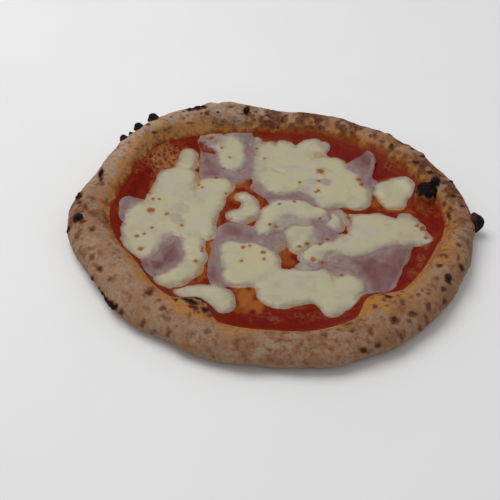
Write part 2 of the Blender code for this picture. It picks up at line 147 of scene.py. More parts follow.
# Burnt knobs of dough on the outer wall: azimuth, angle round the tube, radius
KNOBS = (
    (1.5, 6.0, 6.0),
    (131.5, 57.0, 4.0),
    (138.0, 60.0, 3.6),
    (145.0, 51.0, 2.9),
    (141.5, 52.0, 1.5),
    (188.0, 66.0, 2.8),
    (17.5, 120.0, 3.0),
)
# Big burnt blister at the foot of the inner wall: centre, and its reach along x, y and z
BLISTER_CENTRE = (123.4, 36.5, 11.0)
BLISTER_REACH = (10.5, 12.0, 12.0)
# How far its foot is widened, as a share, and how far it leans towards -Y
FOOT_SPREAD = 0.22
FOOT_LEAN = 8.0
# Axis of its black cap
CAP_AXIS = (-0.05, -0.2, 0.98)
# Burnt lips: azimuth, angle round the tube, half width along the rim and across it, heat
LIPS = (
    (-118.0, 133.0, 10.0, 2.8, 1.1), (-114.5, 122.0, 3.0, 3.0, 0.8), (212.5, -28.0, 17.0, 2.4, 1.25),
    (-49.0, 131.0, 3.0, 2.6, 0.95),
)
KNOB_RISE = 0.42
KNOB_SPREAD = 0.4
KNOB_ROWS = 24
KNOB_COLUMNS = 40

# Marks of the oven on the crust: x, y, half width, half height, heat (1 is black)
BURNS = (
    (-147.5, 57.5, 1.4, 4.0, 1.1), (-146, 50, 1.6, 4, 0.75), (-144, 43.5, 2, 3, 0.6),
    (-150.5, 38, 1.5, 1.5, 0.35), (-160.5, 25, 1.8, 4, 1.1), (-158.5, 17.5, 1.8, 3, 0.6),
    (-157, -3.5, 2.6, 3.8, 1.1), (-152.5, -7.5, 2.2, 3, 0.7), (-143, -16, 2.3, 2.5, 0.65),
    (-161.5, -19, 1.3, 4, 1.1), (-154, -25, 1.6, 4, 0.55), (-148, 12, 2.5, 2, 0.3), (-149, -29, 1.5, 2, 0.35),
    (-139.5, -40, 2.8, 2, 0.45), (-138, -50.5, 2.2, 3.5, 0.5), (-134, -58, 2.4, 2.2, 0.4),
    (-130.3, -62.5, 1.8, 3, 0.7), (-131.5, -45, 2, 3, 0.3), (-148.5, -38, 1.5, 3.5, 0.35),
    (-120, -57, 1.8, 2.2, 0.4), (-120, -73, 2.6, 2.6, 0.5), (-134.5, -76.5, 1.5, 4, 1.1),
    (-129, -85.5, 1.8, 2.5, 1.0), (-126, -90, 2, 3, 1.1), (-122.5, -94.5, 2, 2.5, 1.1),
    (-118.5, -98.5, 2.2, 2.5, 1.1), (-114.5, -102.5, 2.8, 2.4, 1.1), (-109, -107, 2, 3, 0.6),
    (-91.5, -85, 3.2, 3.4, 0.65), (-93.5, -89, 2, 2, 0.45), (-84, -93, 1.8, 1.6, 0.55),
    (-108, -87, 2.5, 2.2, 0.35), (-104, -93, 1.2, 3, 0.4), (-91, -101.5, 2.6, 2.4, 0.35),
    (-80, -101.5, 2.6, 2.2, 0.5), (-103, -105, 2, 2, 0.3), (-75, -105.5, 2.2, 2.4, 0.45),
    (-92, -117, 1.5, 4, 0.5), (-75, -112, 2, 2.2, 0.5), (-84, -125, 1.8, 2.5, 0.5),
    (-74, -125.5, 1.5, 3, 0.5), (-69, -119, 1.8, 2.5, 0.35), (-50, -101.5, 2.6, 2.4, 0.85),
    (-54.5, -103.5, 1.2, 1.5, 0.5), (-60.5, -107, 1.2, 3.5, 0.5), (-46, -107, 2.4, 1.8, 0.6),
    (-48, -123.5, 2.4, 2.2, 0.5), (-59, -127.5, 3, 3, 0.35), (-26.5, -132.5, 2.6, 5, 0.45),
    (-16, -134, 1.6, 3, 0.3), (-4.5, -138, 1.5, 1.6, 0.5), (17, -132, 1.4, 3, 0.5), (22, -136.5, 2, 3, 0.35),
    (26, -140, 3, 2, 0.3), (11, -149, 1.6, 1.6, 0.35), (20, -148, 2.2, 2.4, 0.35), (33, -122.5, 2, 1.8, 0.6),
    (44, -117, 2, 1.6, 0.5), (50, -113, 3, 2.4, 0.4), (59, -106, 2, 1.8, 0.4), (66, -117, 1.6, 3.4, 0.5),
    (63, -124, 1.5, 4, 0.35), (59.5, -136, 2.8, 2.6, 0.7), (69, -131, 1.8, 2.2, 0.6),
    (42, -128, 1.8, 2, 0.35), (83, -105.5, 2.6, 3, 0.7), (97, -98.5, 2.8, 2.8, 0.65),
    (94, -106, 1.8, 2.2, 0.5), (109, -91, 1.8, 4.5, 0.65), (90.5, -87, 1.8, 3.6, 0.6),
    (104, -78, 1.6, 1.3, 0.55), (107, -74, 1.3, 1.2, 0.55), (111, -77, 1.6, 1.6, 0.5),
    (98, -81.5, 2, 1.4, 0.35), (122.5, -71.5, 1.9, 2.4, 0.65), (116.5, -71, 1.4, 2, 0.4),
    (121.5, -85, 1.2, 3.2, 0.6), (128, -59.5, 2.4, 4, 0.85), (119, -60, 1.5, 1.8, 0.5),
    (123, -45.5, 2.2, 1.8, 0.75), (139.5, -47, 1.3, 3.8, 0.75), (130, -46, 0.8, 1.4, 0.45),
    (78.5, -76, 1.8, 2, 1.1), (78, -85, 1.3, 2, 0.6), (70.5, -92, 1.5, 1.6, 0.65), (79, -91, 2, 1.4, 0.35),
    (106, -104, 1.2, 5, 0.5), (86.5, -122, 1.2, 3, 0.6), (100.5, -113, 1, 3, 0.6), (75, -105.5, 2, 2.4, 0.35),
    (124, 36, 2, 3.5, 0.8), (117, 45, 3, 7, 0.75), (134.5, 62, 2.5, 4.6, 1.15), (137, 69.5, 1.4, 2, 0.8),
    (131.5, 75.5, 2.2, 2.2, 0.85), (140.5, 61, 2, 2, 0.6), (148, 63, 1.2, 2, 0.9), (146, 57, 1.5, 2, 0.4),
    (144, 46, 2.5, 4, 0.55), (148, 42, 3, 6, 0.45), (152, 36, 3, 6, 0.5), (152.5, 30, 1.8, 1.8, 0.8),
    (145, 36, 2.4, 6, 0.5), (142, 26, 1.6, 3, 0.6), (139, 17, 1.4, 4.4, 0.75), (134.5, 18, 1, 2, 0.5),
    (125.5, 14.5, 1.4, 1.8, 0.85), (140, -5.5, 1, 1.4, 0.5), (142, -20.5, 1.7, 2.6, 0.6),
    (150, -14, 0.9, 3, 0.5), (139, -36, 1.1, 3, 0.5), (135.5, -13, 1.4, 1.2, 0.45), (128, -34, 3.6, 2.6, 0.6),
    (158, 12, 2, 4, 0.7), (157.5, -2, 1.2, 2.5, 0.8), (95, 120.5, 1.8, 2.2, 0.6),
    (103.5, 116.5, 1.8, 1.8, 0.55), (102.5, 111, 1.6, 2.4, 0.55), (108, 105, 2.4, 3, 0.45),
    (113.5, 99, 3, 4, 0.5), (110, 96, 2, 2.5, 0.45), (85, 129.5, 1.6, 2, 0.5), (121, 90, 3.4, 2.2, 0.85),
    (111, 90, 2, 1.6, 0.55), (126.5, 83, 1.4, 2.4, 0.5), (115, 81, 1.6, 1.8, 0.4), (121, 111, 1.6, 1.6, 0.7),
    (128.5, 100.5, 2.2, 1.4, 0.8), (90, 141, 2.4, 1.2, 0.4), (68, 146, 1.6, 3, 0.35),
    (-27.5, 165.5, 2.6, 5.5, 1.1), (-42, 170.5, 3, 1.6, 0.6), (-19, 164, 1.4, 1.6, 0.6),
    (32, 149, 2.6, 3.2, 0.4), (16, 142.5, 1.8, 3.4, 0.4), (47, 144.5, 2.6, 1.6, 0.45),
    (39.5, 142.5, 2.2, 4, 0.35), (24, 152, 2.4, 2.4, 0.3), (-24, 145.5, 1.6, 2.2, 0.45),
    (-27.5, 142, 2, 1.6, 0.5), (-6, 149, 2, 1.8, 0.55), (7.5, 147.5, 2, 2, 0.55), (10, 160, 2.4, 1.8, 0.35),
    (39, 161.5, 1.8, 1.2, 0.4), (2, 136, 2.4, 1.8, 0.45), (36, 156, 4, 3, 0.28), (20, 160, 5, 4, 0.28),
    (58, 148, 1.6, 2, 0.35), (42, 134, 2, 1.5, 0.5), (-139, 101, 1.4, 5, 0.55), (-109, 123, 2.5, 2, 0.6),
    (-116, 136, 1.6, 1.5, 0.6), (-78.5, 141, 3, 1.8, 0.6), (-96, 149.5, 1.8, 1.6, 0.4),
    (-84.5, 148, 1.4, 1.8, 0.5), (-96.5, 131.5, 1.6, 2.2, 0.5), (-100, 128, 1, 1.6, 0.4),
    (-63.5, 159.5, 2, 3.6, 0.65), (-69.5, 158, 1.8, 2, 0.5), (-86, 160.5, 1.6, 1.2, 0.6),
    (-80, 165, 2.2, 3, 0.9), (-74.5, 167.5, 4, 2.8, 1.1), (-68, 168.5, 2, 2.6, 1.0), (-54, 161, 1.4, 2, 0.85),
    (-147.5, 64, 0.9, 2.6, 0.6), (-148, 78, 0.9, 2.4, 0.6), (-122, 96, 1.6, 2.2, 0.4), (-116, 103, 1, 3, 0.4),
    (-127, 100, 1.6, 2.2, 0.35), (-129.5, 105, 1, 3, 0.4), (-66, -89.5, 3, 1.6, 0.7),
    (-60, -88, 4, 1.5, 0.95), (-54, -89.5, 3.5, 1.7, 1.0), (-49.5, -93, 3, 2, 0.95),
    (-46, -98, 2.6, 2.5, 0.85), (-57, -96, 3, 3, 0.5),
)
# Pale middles of burst blisters: x, y, half width, half height
PALE_MIDDLES = ((127.8, -35.2, 1.1, 1.0), (122.0, 47.0, 0.8, 1.2))
# Patches of orange oil on the crust: x, y, half width, half height, strength
OIL_PATCHES = (
    (-141, 22, 2.6, 4, 1.0), (-137.5, 15, 2, 4, 1.0), (-134, 40, 2.6, 5, 0.9), (-133, -11, 1.8, 3, 1.0),
    (67, -86, 8, 7, 1.0), (74, -78, 4, 3, 0.8), (-64, -100, 9, 5, 0.9), (-55, -105, 6, 4, 1.0),
    (-38, -114, 5, 3, 0.9), (127, -38, 6, 6, 0.8), (128, -25, 5, 6, 0.9), (60, 121, 4, 4, 0.8),
    (35, -114, 2.5, 2, 0.7), (-104, 115, 7, 8, 0.9), (-93, 128, 8, 6, 0.9), (-80, 137, 8, 4, 0.8),
    (-7, 141, 6, 7, 0.9), (5, 146, 4, 4, 0.8), (114, -55, 2, 3, 0.6), (120, -44, 3, 3, 0.6),
    (136, -14, 3, 9, 0.7), (137, 6, 3, 7, 0.6), (132, -33, 3, 5, 0.5), (30, 151, 13, 5, 0.65),
    (50, 146, 8, 4, 0.65), (-3, 151, 9, 4, 0.4), (72, 139, 10, 4, 0.5), (97, 124, 8, 5, 0.5),
)

# Tomato sauce: a thin turned sheet that climbs the foot of the rim
SAUCE_THICKNESS = 1.2
SAUCE_EDGE = 0.997
SAUCE_TAPER = 9.0
SMEAR_RUN = 6.0
SAUCE_DIP = 0.45
SAUCE_FILM = 0.12
TOPPING_EDGE = 0.985
CLEARANCE = 0.35
SAUCE_ROWS = 120
SAUCE_SEGMENTS = 720
SAUCE_UNDER_ROWS = 8
# Patches where pale dough shows through the sauce: x, y, half width, half height, strength
BARE_PATCHES = (
    (-98.0, 84.0, 13.0, 20.0, 1.0), (122.0, 27.0, 8.0, 8.0, 0.4), (0.0, -108.0, 5.0, 3.0, 0.3),
    (98.0, 84.0, 4.0, 8.0, 0.35), (111.0, -40.0, 3.5, 8.0, 0.42), (116.0, -21.0, 3.0, 6.0, 0.4),
    (103.0, -55.0, 4.0, 5.0, 0.35), (22.0, -104.0, 13.0, 3.5, 0.2), (-12.0, -106.0, 8.0, 3.5, 0.2),
    (45.0, -101.0, 5.0, 3.0, 0.2),
)

# Ham: thin wavy slices, each a polygon on the floor plan with its corners cut round
HAM_THICKNESS = 1.1
HAM_GAP = 0.06
CORNER_CUTS = 2
SHEET_SPACING = 0.75
EDGE_CREASE = math.radians(50.0)
HAM_RAGGED = 1.9
HAM_SLICES = (
    ((-122, -4), (-126, 10), (-124, 21), (-117, 28), (-107, 28), (-98, 20), (-98, 0), (-110, -6)),
    (
        (-67, 57), (-40, 53), (-28, 52), (-20, 62), (-18, 114), (-22, 124), (-32, 122),
        (-44, 116), (-52, 121), (-62, 120), (-70, 110), (-66, 98), (-66, 80),
    ),
    (
        (-23, 52), (-10, 61), (20, 62), (46, 66), (53, 56), (48, 30), (51, 18), (40, 14),
        (20, 14), (-4, 25), (-8, 35), (-18, 42),
    ),
    (
        (58, 84), (60, 88), (65, 93), (74, 94), (78, 97), (84, 95), (87, 86), (84, 77), (81, 70),
        (87, 64), (84, 50), (81, 41), (75, 46), (68, 60), (59, 72),
    ),
    (
        (-45, 1), (-20, 0), (-2, -7), (9, -6), (9, -28), (0, -36), (-10, -50), (-28, -70),
        (-44, -77), (-50, -70), (-51, -32), (-48, -14),
    ),
    ((28, 9), (38, 10), (43, 3), (50, -6), (50, -15), (44, -20), (34, -20), (26, -12), (24, 0)),
    (
        (22, -26), (36, -28), (60, -25), (96, -13), (108, -15), (105, -28), (98, -45),
        (91, -62), (85, -76), (66, -82), (48, -72), (30, -58), (18, -42),
    ),
    (
        (-103, -49), (-98, -62), (-91, -72), (-74, -70), (-63, -48), (-64, -22), (-76, -12),
        (-92, -14), (-98, -34),
    ),
)
# Folds of the slices: slice, start and end of the fold's ridge, half width, lift
HAM_FOLDS = (
    (0, (-120, 20), (-108, 14), 5.0, 1.0),
    (1, (-60, 78), (-46, 62), 6.0, 0.8),
    (3, (80, 93), (85, 80), 4.0, 2.8),
    (6, (44, -40), (66, -48), 3.5, 1.5),
    (6, (96, -32), (82, -62), 7.0, 0.35),
    (7, (-94, -58), (-78, -26), 4.0, 1.8),
    (7, (-80, -60), (-70, -34), 4.0, 1.4),
)
# Pale rinds along the slices: slice and the points that the rind follows
HAM_RINDS = (
    (6, ((106, -18), (104, -24), (97, -45), (90, -62), (84, -74))),
    (3, ((79, 98), (84, 88), (82, 78), (80, 70))),
    (7, ((-96, -52), (-91, -64), (-86, -70))),
)

# Mozzarella: melted pools, each the smooth union of round lobes (x, y, radius)
CHEESE_FILM = 0.15
CHEESE_EDGE = 0.5
CHEESE_HEIGHT = 1.1
CHEESE_SOFTNESS = 3.8
LOBE_BLEND = 2.0
CHEESE_SPACING = 8.0
CHEESE_GAP = 0.25
HAM_LIFT = 0.75
HAM_REACH = 6.0
FOLD_SPREAD = 4.0
SEAM = 0.1
CHEESE_RAGGED = 1.5
CHEESE_POOLS = (
    (
        (-76, 92, 8.5), (-76, 80, 9.5), (-84, 58, 17), (-86, 44, 17), (-89, 28, 17.5),
        (-91, 12, 16), (-103, 4, 18), (-104, -12, 17.5), (-104, -31, 15), (-101, -40, 10.5),
        (-84, -6, 13), (-73, 62, 7), (-52, 45, 14), (-56, 51, 8), (-42, 50, 8.5), (-58, 28, 17),
        (-60, 8, 15), (-57, -8, 11.5), (-52, -15, 6), (-67, -12, 10), (-64, -28, 10.5),
        (-61, -42, 9.5), (-64, -56, 10), (-72, -67, 10), (-81, -71, 9), (-74, 36, 10), (-74, 22, 8),
    ),
    ((-37, 107, 10.5), (-37, 93, 13.5), (-36, 81, 11.5), (-56, 112, 8), (-47, 106, 8)),
    (
        (-8, 104, 11), (8, 103, 12), (28, 102, 13.5), (34, 104, 10.5), (-7, 88, 11.5),
        (10, 86, 16), (32, 84, 18), (49, 86, 11.5), (-11, 75, 8), (-6, 64, 13), (6, 54, 16),
        (22, 64, 17), (45, 69, 20), (63, 66, 11), (30, 47, 8), (36, 38, 7), (42, 30, 8.5),
        (63, 46, 16.5), (50, 38, 13), (66, 35, 13), (46, 54, 12), (20, 95, 14), (0, 96, 12),
    ),
    ((97, 50, 14), (104, 52, 11.5), (91, 53, 10.5), (97, 38, 12), (97, 33, 8.5)),
    ((-27, 35.5, 6.5), (-22, 32, 7), (-21, 23, 7.5), (-22, 14, 8.5), (-31, 10, 9), (-26, 8, 8)),
    ((-3, 14, 10), (6, 20, 13), (18, 21, 13), (29, 19, 11), (-6, 2, 8.5), (-10, -7, 8), (36, 16, 7)),
    ((14, -6, 9.5), (24, -7, 10), (18, -18, 10), (18, -27, 7.5)),
    ((46, 6, 8.5), (49, -1, 6.5), (46, 14, 6)),
    (
        (26, -30, 9), (24, -39, 7), (33, -40, 7.5), (34, -27, 8), (42, -27, 9.5), (56, -23, 13),
        (64, -22, 13), (70, 5, 13.5), (82, 5, 14), (76, -12, 16), (90, -2, 17), (104, -6, 14.5),
        (106, 3, 12), (106, 10, 8), (113, -10, 8), (118, -15, 4.5), (66, -4, 8),
    ),
    (
        (-34, -33, 11.5), (-17, -35, 12.5), (-8, -43, 12.5), (-27, -47, 15), (-10, -60, 14),
        (-27, -62, 13), (14, -64, 13), (29, -60, 14), (34, -74, 14), (14, -78, 14),
        (-2, -80, 12), (3, -85, 10.5), (54, -71, 14), (48, -82, 12), (40, -90, 9), (40, -97, 5.5),
        (1, -66, 11),
    ),
    ((-66, -82, 8), (-58, -82, 8), (-50, -84, 10.5), (-42, -86, 12), (-38, -92, 9.5)),
)
# Thin milky film round the pools: pool and the lobes of its film
CHEESE_FILMS = (
    (0, ((-76, 10, 10), (-113, 16, 9), (-117, 7, 8), (-88, -22, 8))),
    (1, (
        (-57, 110, 10), (-60, 114, 7), (-47, 101, 9), (-38, 67, 8), (-31, 63, 5), (-39, 92, 15.5), (-36, 109, 12),
    )),
    (2, (
        (-17, 110, 7), (-17, 97, 7), (-16, 82, 8), (-15, 67, 8), (-11, 56, 8), (25, 50, 7), (28, 40, 7),
        (34, 30, 7), (-8, 46, 7), (79, 52, 4), (42, 108, 5),
    )),
    (5, ((8, 6, 9), (22, 6, 9), (2, -2, 7), (38, 10, 6))),
    (6, ((30, -16, 8), (8, -14, 7), (33, -8, 6))),
    (7, ((53, 13, 6), (56, 5, 4), (50, 18, 5))),
    (8, (
        (52, -13, 5), (104, 15, 7), (113, 2, 7), (110, 10, 5), (62, 12, 6), (29, -47, 8), (22, -49, 6),
        (46, -38, 7),
    )),
    (9, ((50, -57, 9), (-36, -24, 5), (-12, -23, 6), (2, -28, 5), (40, -50, 5), (22, -52, 8))),
)
# Places where the cheese is thin: x, y, half width, half height, strength
THIN_SPOTS = (
    (42, 57, 6, 4, 0.75), (30, 57, 7, 4, 0.35), (16, 77, 6, 2.5, 0.4), (-9, 88, 4, 3, 0.4),
    (-79, 0, 5, 7, 0.7), (-75, 14, 8, 7, 0.45), (-105, 20, 8, 5, 0.3), (-60, 32, 5, 12, 0.25),
    (24, 46, 6, 6, 0.4), (-98, -16, 8, 4, 0.25), (-58, 112, 9, 9, 0.75), (-48, 106, 5, 6, 0.45),
    (44, -54, 5, 5, 0.6), (38, -36, 9, 4, 0.5), (4, -3, 5, 8, 0.6), (-16, 100, 4, 12, 0.4),
    (-12, 72, 5, 10, 0.4),
)
# Browned specks on the toppings: x, y, half width, strength
SPECKS = (
    (-59, 117, 2.6, 0.9), (-48, 102, 1.2, 0.6), (-40, 88, 1.2, 0.5), (-44, 71, 1.0, 0.5),
    (-17, 103, 1.2, 0.6), (-10, 88, 1.0, 0.5), (-87, 77, 1.6, 0.9), (-64, 46, 1.0, 0.8), (-61, 43, 1.0, 0.8),
    (-50, 57, 1.2, 0.6), (-24, 54, 1.6, 1.0), (-41, 36, 1.2, 0.6), (-104, 45, 1.2, 0.7), (-104, 33, 1.2, 0.7),
    (-100, 25, 1.2, 0.7), (-95, 25, 1.0, 0.6), (-100, 10, 2.4, 0.7), (-87, 6, 1.2, 0.6), (-74, -8, 1.2, 0.6),
    (-37, 2, 1.2, 0.8), (3, 24, 1.2, 0.6), (15, 28, 1.2, 0.6), (38, 72, 2.6, 0.8), (36, 58, 1.2, 0.7),
    (20, 55, 1.2, 0.6), (35, 44, 1.2, 0.8), (33, 42, 1.0, 0.7), (70, 62, 1.6, 0.9), (72, 55, 1.4, 0.9),
    (58, 9, 1.4, 0.8), (35, 7, 1.2, 0.7), (112, 2, 1.3, 0.6), (116, -1.5, 1.8, 1.0), (117, -12.5, 1.3, 0.7),
    (40, -19, 1.3, 0.8), (34, -25, 1.2, 0.7), (24, -25, 1.3, 0.7), (18, -29, 1.3, 0.8), (28, -44, 1.6, 1.3),
    (35, -47, 1.2, 0.8), (49, -60, 1.2, 0.8), (-5, -3, 1.2, 0.7), (0, -6, 1.2, 0.7), (-25, -32, 1.2, 0.7),
    (-20, -30, 1.1, 0.6), (-10, -37, 1.4, 0.7), (-9, -45, 1.2, 0.6), (-26, -48, 1.2, 0.6),
    (-56, -35, 1.0, 0.7), (-56, -38, 1.0, 0.7), (-60, -50, 1.2, 0.8), (-103, -38, 1.5, 0.9),
    (-107, -23, 1.3, 0.8), (-102, -20, 1.1, 0.7), (-97, -12, 1.1, 0.6),
)
# Tongues of sauce that run over the toppings: x, y, half width, half height, strength
SAUCE_TONGUES = (
    (-74, 108, 5, 5, 1.6), (-70, 105, 5, 5.5, 1.6), (-65, 101, 5, 4.4, 1.5), (-60, 97.5, 4, 3, 1.4),
    (-56, 94.5, 3, 2.2, 1.2),
)
# Orange oil on the toppings: x, y, half width, half height, strength
OIL_SPOTS = (
    (-22, -88, 7, 9, 1.5), (-15, -95, 6, 5, 1.4), (-28, -79, 4, 5, 0.9), (8, -36, 4.5, 9, 0.8),
    (10, -47, 4, 5, 0.7), (82, 30, 4, 7, 0.8), (95, 22, 7, 2.5, 0.8), (108, 19, 5, 4, 0.5),
    (63, 21, 8, 1.8, 0.8), (57, 12, 1.6, 6, 0.7), (56, -3, 4, 3.5, 0.6), (-51, -36, 2, 14, 0.9),
    (-55, -60, 4, 8, 0.8), (-64, -73, 6, 1.6, 0.8), (-35, 33, 4.5, 9, 0.8), (-30, 48, 7, 4, 0.9),
    (-19, 44, 4, 3.5, 0.7), (-20, 4, 5, 3, 0.8), (37, 96, 4, 5, 0.75), (-65, 55, 1.8, 11, 1.0),
    (-68, 40, 4, 2.5, 0.6), (-67, 76, 3, 9, 0.7), (-66, 60, 2.5, 5, 0.7), (41, -62, 1.0, 8, 0.6),
    (-59, 95, 5, 3, 0.9), (-103, 42, 1.6, 9, 0.6), (-12, 30, 2, 10, 0.5), (-66, 34, 1.6, 6, 0.4),
    (32, 90, 2, 2, 0.4), (38, 73, 2.6, 4, 0.5), (71, 56, 1.6, 3.5, 0.6), (69, 63, 1.2, 3, 0.5),
    (-101, 10, 4, 3, 0.35), (-110, -14, 6, 3, 0.25), (-64, 44, 3, 2, 0.5), (-1, -88, 4, 3, 0.35),
    (14, -96, 6, 2, 0.4),
)

# First seeds of the ragged edges; each slice or pool adds its number
HAM_SEED = 70
CHEESE_SEED = 110
# Room left round a slice and a pool for their ragged edges
HAM_MARGIN = 2.2
CHEESE_MARGIN = 3.5
# Lift from which a fold is free below, its thickness there, and how far the toppings sink into the sauce
FREE_LIFT = 1.5
FREE_THICKNESS = 0.9
SUNK = 0.5
CHEESE_LEAST = 0.3
# Angle round the tube past which its inner side lies, where oil and sauce climb
INNER_SIDE = math.radians(50.0)
# Creases drawn down the outer wall: their spacing round the rim and their length down it
CREASE_WIDTH = 3.2
CREASE_LENGTH = 22.0
# Strength of the burns, how far a pale middle lightens them, and how far burnt dough rises
BURN_STRENGTH = 1.15
PALE_STRENGTH = 0.8
CHAR_RISE = 0.55
# Level below which the crust is its spotted underside
UNDERSIDE = 0.05
# Size of the specks against their marks, across and along the line of sight, their strength and their halo's
SPECK_WIDTH, SPECK_DEPTH, SPECK_STRENGTH, HALO_STRENGTH = 1.05, 1.15, 1.8, 0.5
# Stage: half width and spacing of the floor's grid; place and width of the key light in metres
STAGE_HALF = 3000.0
STAGE_SPACING = 750.0
KEY_PLACE = (-0.55, 0.3, 1.4)
KEY_WIDTH = 1.2
# Edges of the marks: size, depth and seed of their noise, and how far out they are whole and gone
MARK_EDGES = {
    "burns": (2.6, 0.35, 11, 0.4, 2.3), "pale middles": (3.0, 0.1, 12, 0.55, 1.6),
    "oil patches": (5.0, 0.35, 13, 0.55, 1.6), "specks": (1.6, 0.35, 41, 0.4, 1.7),
    "halos": (2.5, 0.5, 43, 0.8, 2.4), "oil spots": (4.0, 0.5, 42, 0.55, 1.6),
    "sauce tongues": (3.0, 0.35, 44, 0.7, 1.5), "thin spots": (6.0, 0.5, 102, 0.55, 1.6),
    "bare patches": (6.0, 0.5, 35, 0.3, 1.8),
}
# Noises by use: layers of weight, size in millimetres (on a unit ball: in radii) and seed
NOISES = {
    "ragged edge": ((0.7, 9.0, 0), (0.3, 3.5, 1)), "lips": ((0.5, 3.5, 18),),
    "stain edge": ((0.35, 11.0, 6), (0.3, 4.0, 7)), "stain": ((0.3, 5.0, 19),),
    "crags": ((0.55, 11.0, 1), (0.3, 5.0, 2), (0.15, 2.4, 3)), "creases": ((0.22, 1.0, 4),),
    "char": ((1.2, 2.8, 5),), "dust_and_light": ((0.5, 14.0, 21), (0.3, 5.0, 22)),
    "browning": ((0.9, 12.0, 8), (0.9, 4.5, 9)), "low wall": ((0.8, 6.0, 10),),
    "leopard": ((1.0, 17.0, 14), (0.45, 6.0, 15)),
    "knob lumps": ((0.07, 0.9, 0), (0.06, 0.4, 20)), "knob foot": ((0.3, 0.5, 40),),
    "blister lumps": ((0.06, 0.6, 45), (0.04, 0.2, 46)), "blister cap": ((0.3, 0.3, 49),),
    "blister ring": ((0.4, 3.5, 47),), "blister smear": ((0.35, 3.5, 48),),
    "pulp": ((0.4, 6.0, 31), (0.35, 2.6, 32)), "smear edge": ((0.38, 10.0, 16), (0.30, 3.5, 17)),
    "thin edge": ((0.6, 7.0, 33),), "thin patches": ((1.0, 14.0, 34),),
    "thin by cheese": ((0.6, 6.0, 37),), "oil by cheese": ((1.0, 8.0, 38),),
    "ham waves": ((0.6, 13.0, 50), (0.4, 5.5, 60)), "rind": ((0.2, 3.0, 70),), "milky": ((0.7, 8.0, 71),),
    "muscle": ((0.5, 18.0, 72), (0.25, 6.0, 73)), "sag": ((0.6, 19.0, 80), (0.15, 8.0, 90)),
    "thickness": ((0.12, 9.0, 100), (0.08, 3.5, 101)), "pool edge": ((0.5, 4.0, 103),),
    "seam streaks": ((1.0, 7.0, 104),),
}


# Numbers and noise

def smoothstep(low, high, value):
    """0 at low, 1 at high and 3 t^2 - 2 t^3 between."""
    t = np.clip((value - low) / (high - low), 0.0, 1.0)
    return t * t * (3.0 - 2.0 * t)


def bell(distance, half_width):
    """(1 - t^2)^2, a round hump that ends at twice the half width."""
    t = np.clip(np.abs(distance) / (2.0 * half_width), 0.0, 1.0)
    return (1.0 - t * t) ** 2


def lattice_value(cell, seed):
    """A repeatable value from 0 to 1 for each whole-number cell (n, 3), by integer mixing."""
    mixed = cell[:, 0] * 374761393 + cell[:, 1] * 668265263 + cell[:, 2] * 1103515245 + seed * 974634777
    mixed = mixed & 0xFFFFFFFF
    mixed = ((mixed ^ (mixed >> 13)) * 1274126177) & 0xFFFFFFFF
    return ((mixed ^ (mixed >> 16)) & 0xFFFF) / 65535.0


def soft_noise(points, size, seed):
    """Smooth noise from -1 to 1: lattice values at cells of the size, blended by 6 t^5 - 15 t^4 + 10 t^3."""
    place = points / size
    first = np.floor(place).astype(np.int64)
    t = place - first
    t = t * t * t * (t * (6.0 * t - 15.0) + 10.0)
    total = np.zeros(len(points))
    for corner in np.ndindex(2, 2, 2):
        weight = np.prod(np.where(corner, t, 1.0 - t), axis=1)
        total += weight * lattice_value(first + corner, seed)
    return 2.0 * total - 1.0


def noise(use, points, shift=0):
    """Sum of the layers that NOISES gives for one use, their seeds moved on by a shift."""
    return sum(weight * soft_noise(points, size, seed + shift) for weight, size, seed in NOISES[use])


def at_level(flat, level=0.0):
    """Points (n, 2) as points (n, 3) at one level."""
    return np.column_stack([flat, np.full(len(flat), level)])


# The plan of the dough, as the solids have it

def around(values, azimuth):
    """Smooth closed curve through evenly spaced values (Catmull-Rom), azimuth in radians."""
    values = np.array(values)
    place = (azimuth / math.tau * len(values)) % len(values)
    first = np.floor(place).astype(int)
    t = place - first
    before, here, after, beyond = (values[(first + shift) % len(values)] for shift in (-1, 0, 1, 2))
    bend = (2 * before - 5 * here + 4 * after - beyond) * t + (3 * here - before - 3 * after + beyond) * t * t
    return here + 0.5 * t * (after - before + bend)


def bubble_push(azimuth):
    """How far the bubbles push the inner wall inwards, azimuth in radians."""
    push = np.zeros_like(azimuth)
    for at, half_width, inward in INNER_BUBBLES:
        turn = (np.degrees(azimuth) - at + 180.0) % 360.0 - 180.0
        push += inward * bell(turn, half_width)
    return push


def foot_radius(azimuth):
    """Distance from the rim's centre to the foot of its inner wall, azimuth in radians."""
    return around(OUTER_RADII, azimuth) - around(RIM_WIDTHS, azimuth) - bubble_push(azimuth)


def slope_height(radius):
    """Height of the plain dough inside the rim: flat, then rising as a power to the wall's foot."""
    climb = np.clip((radius - FLOOR_FLAT) / (PLAIN_FOOT - FLOOR_FLAT), 0.0, 1.0)
    return FLOOR_HEIGHT + (WALL_FOOT - FLOOR_HEIGHT) * climb ** SLOPE_POWER


def plain_section(angle):
    """Radius and height of the plain rim, an ellipse, at an angle round its tube in radians."""
    half_height = np.where(np.sin(angle) > 0.0, PLAIN_CREST - TUBE_HEIGHT, TUBE_HEIGHT)
    radius = OUTER_RADIUS - 0.5 * TUBE_WIDTH * (1.0 - np.cos(angle))
    return radius, TUBE_HEIGHT + half_height * np.sin(angle)


def tube_angle(radius, height):
    """Angle round the plain rim's tube, in radians, 0 at the outermost line."""
    return np.arctan2(height - TUBE_HEIGHT, radius - OUTER_RADIUS + 0.5 * TUBE_WIDTH)


def rim_waves(azimuth, angle):
    """Sum of sines round the rim and across it, both in radians."""
    return sum(
        height * np.sin(count * azimuth + turn * angle + number)
        for number, (count, turn, height) in enumerate(RIM_WAVES)
    )


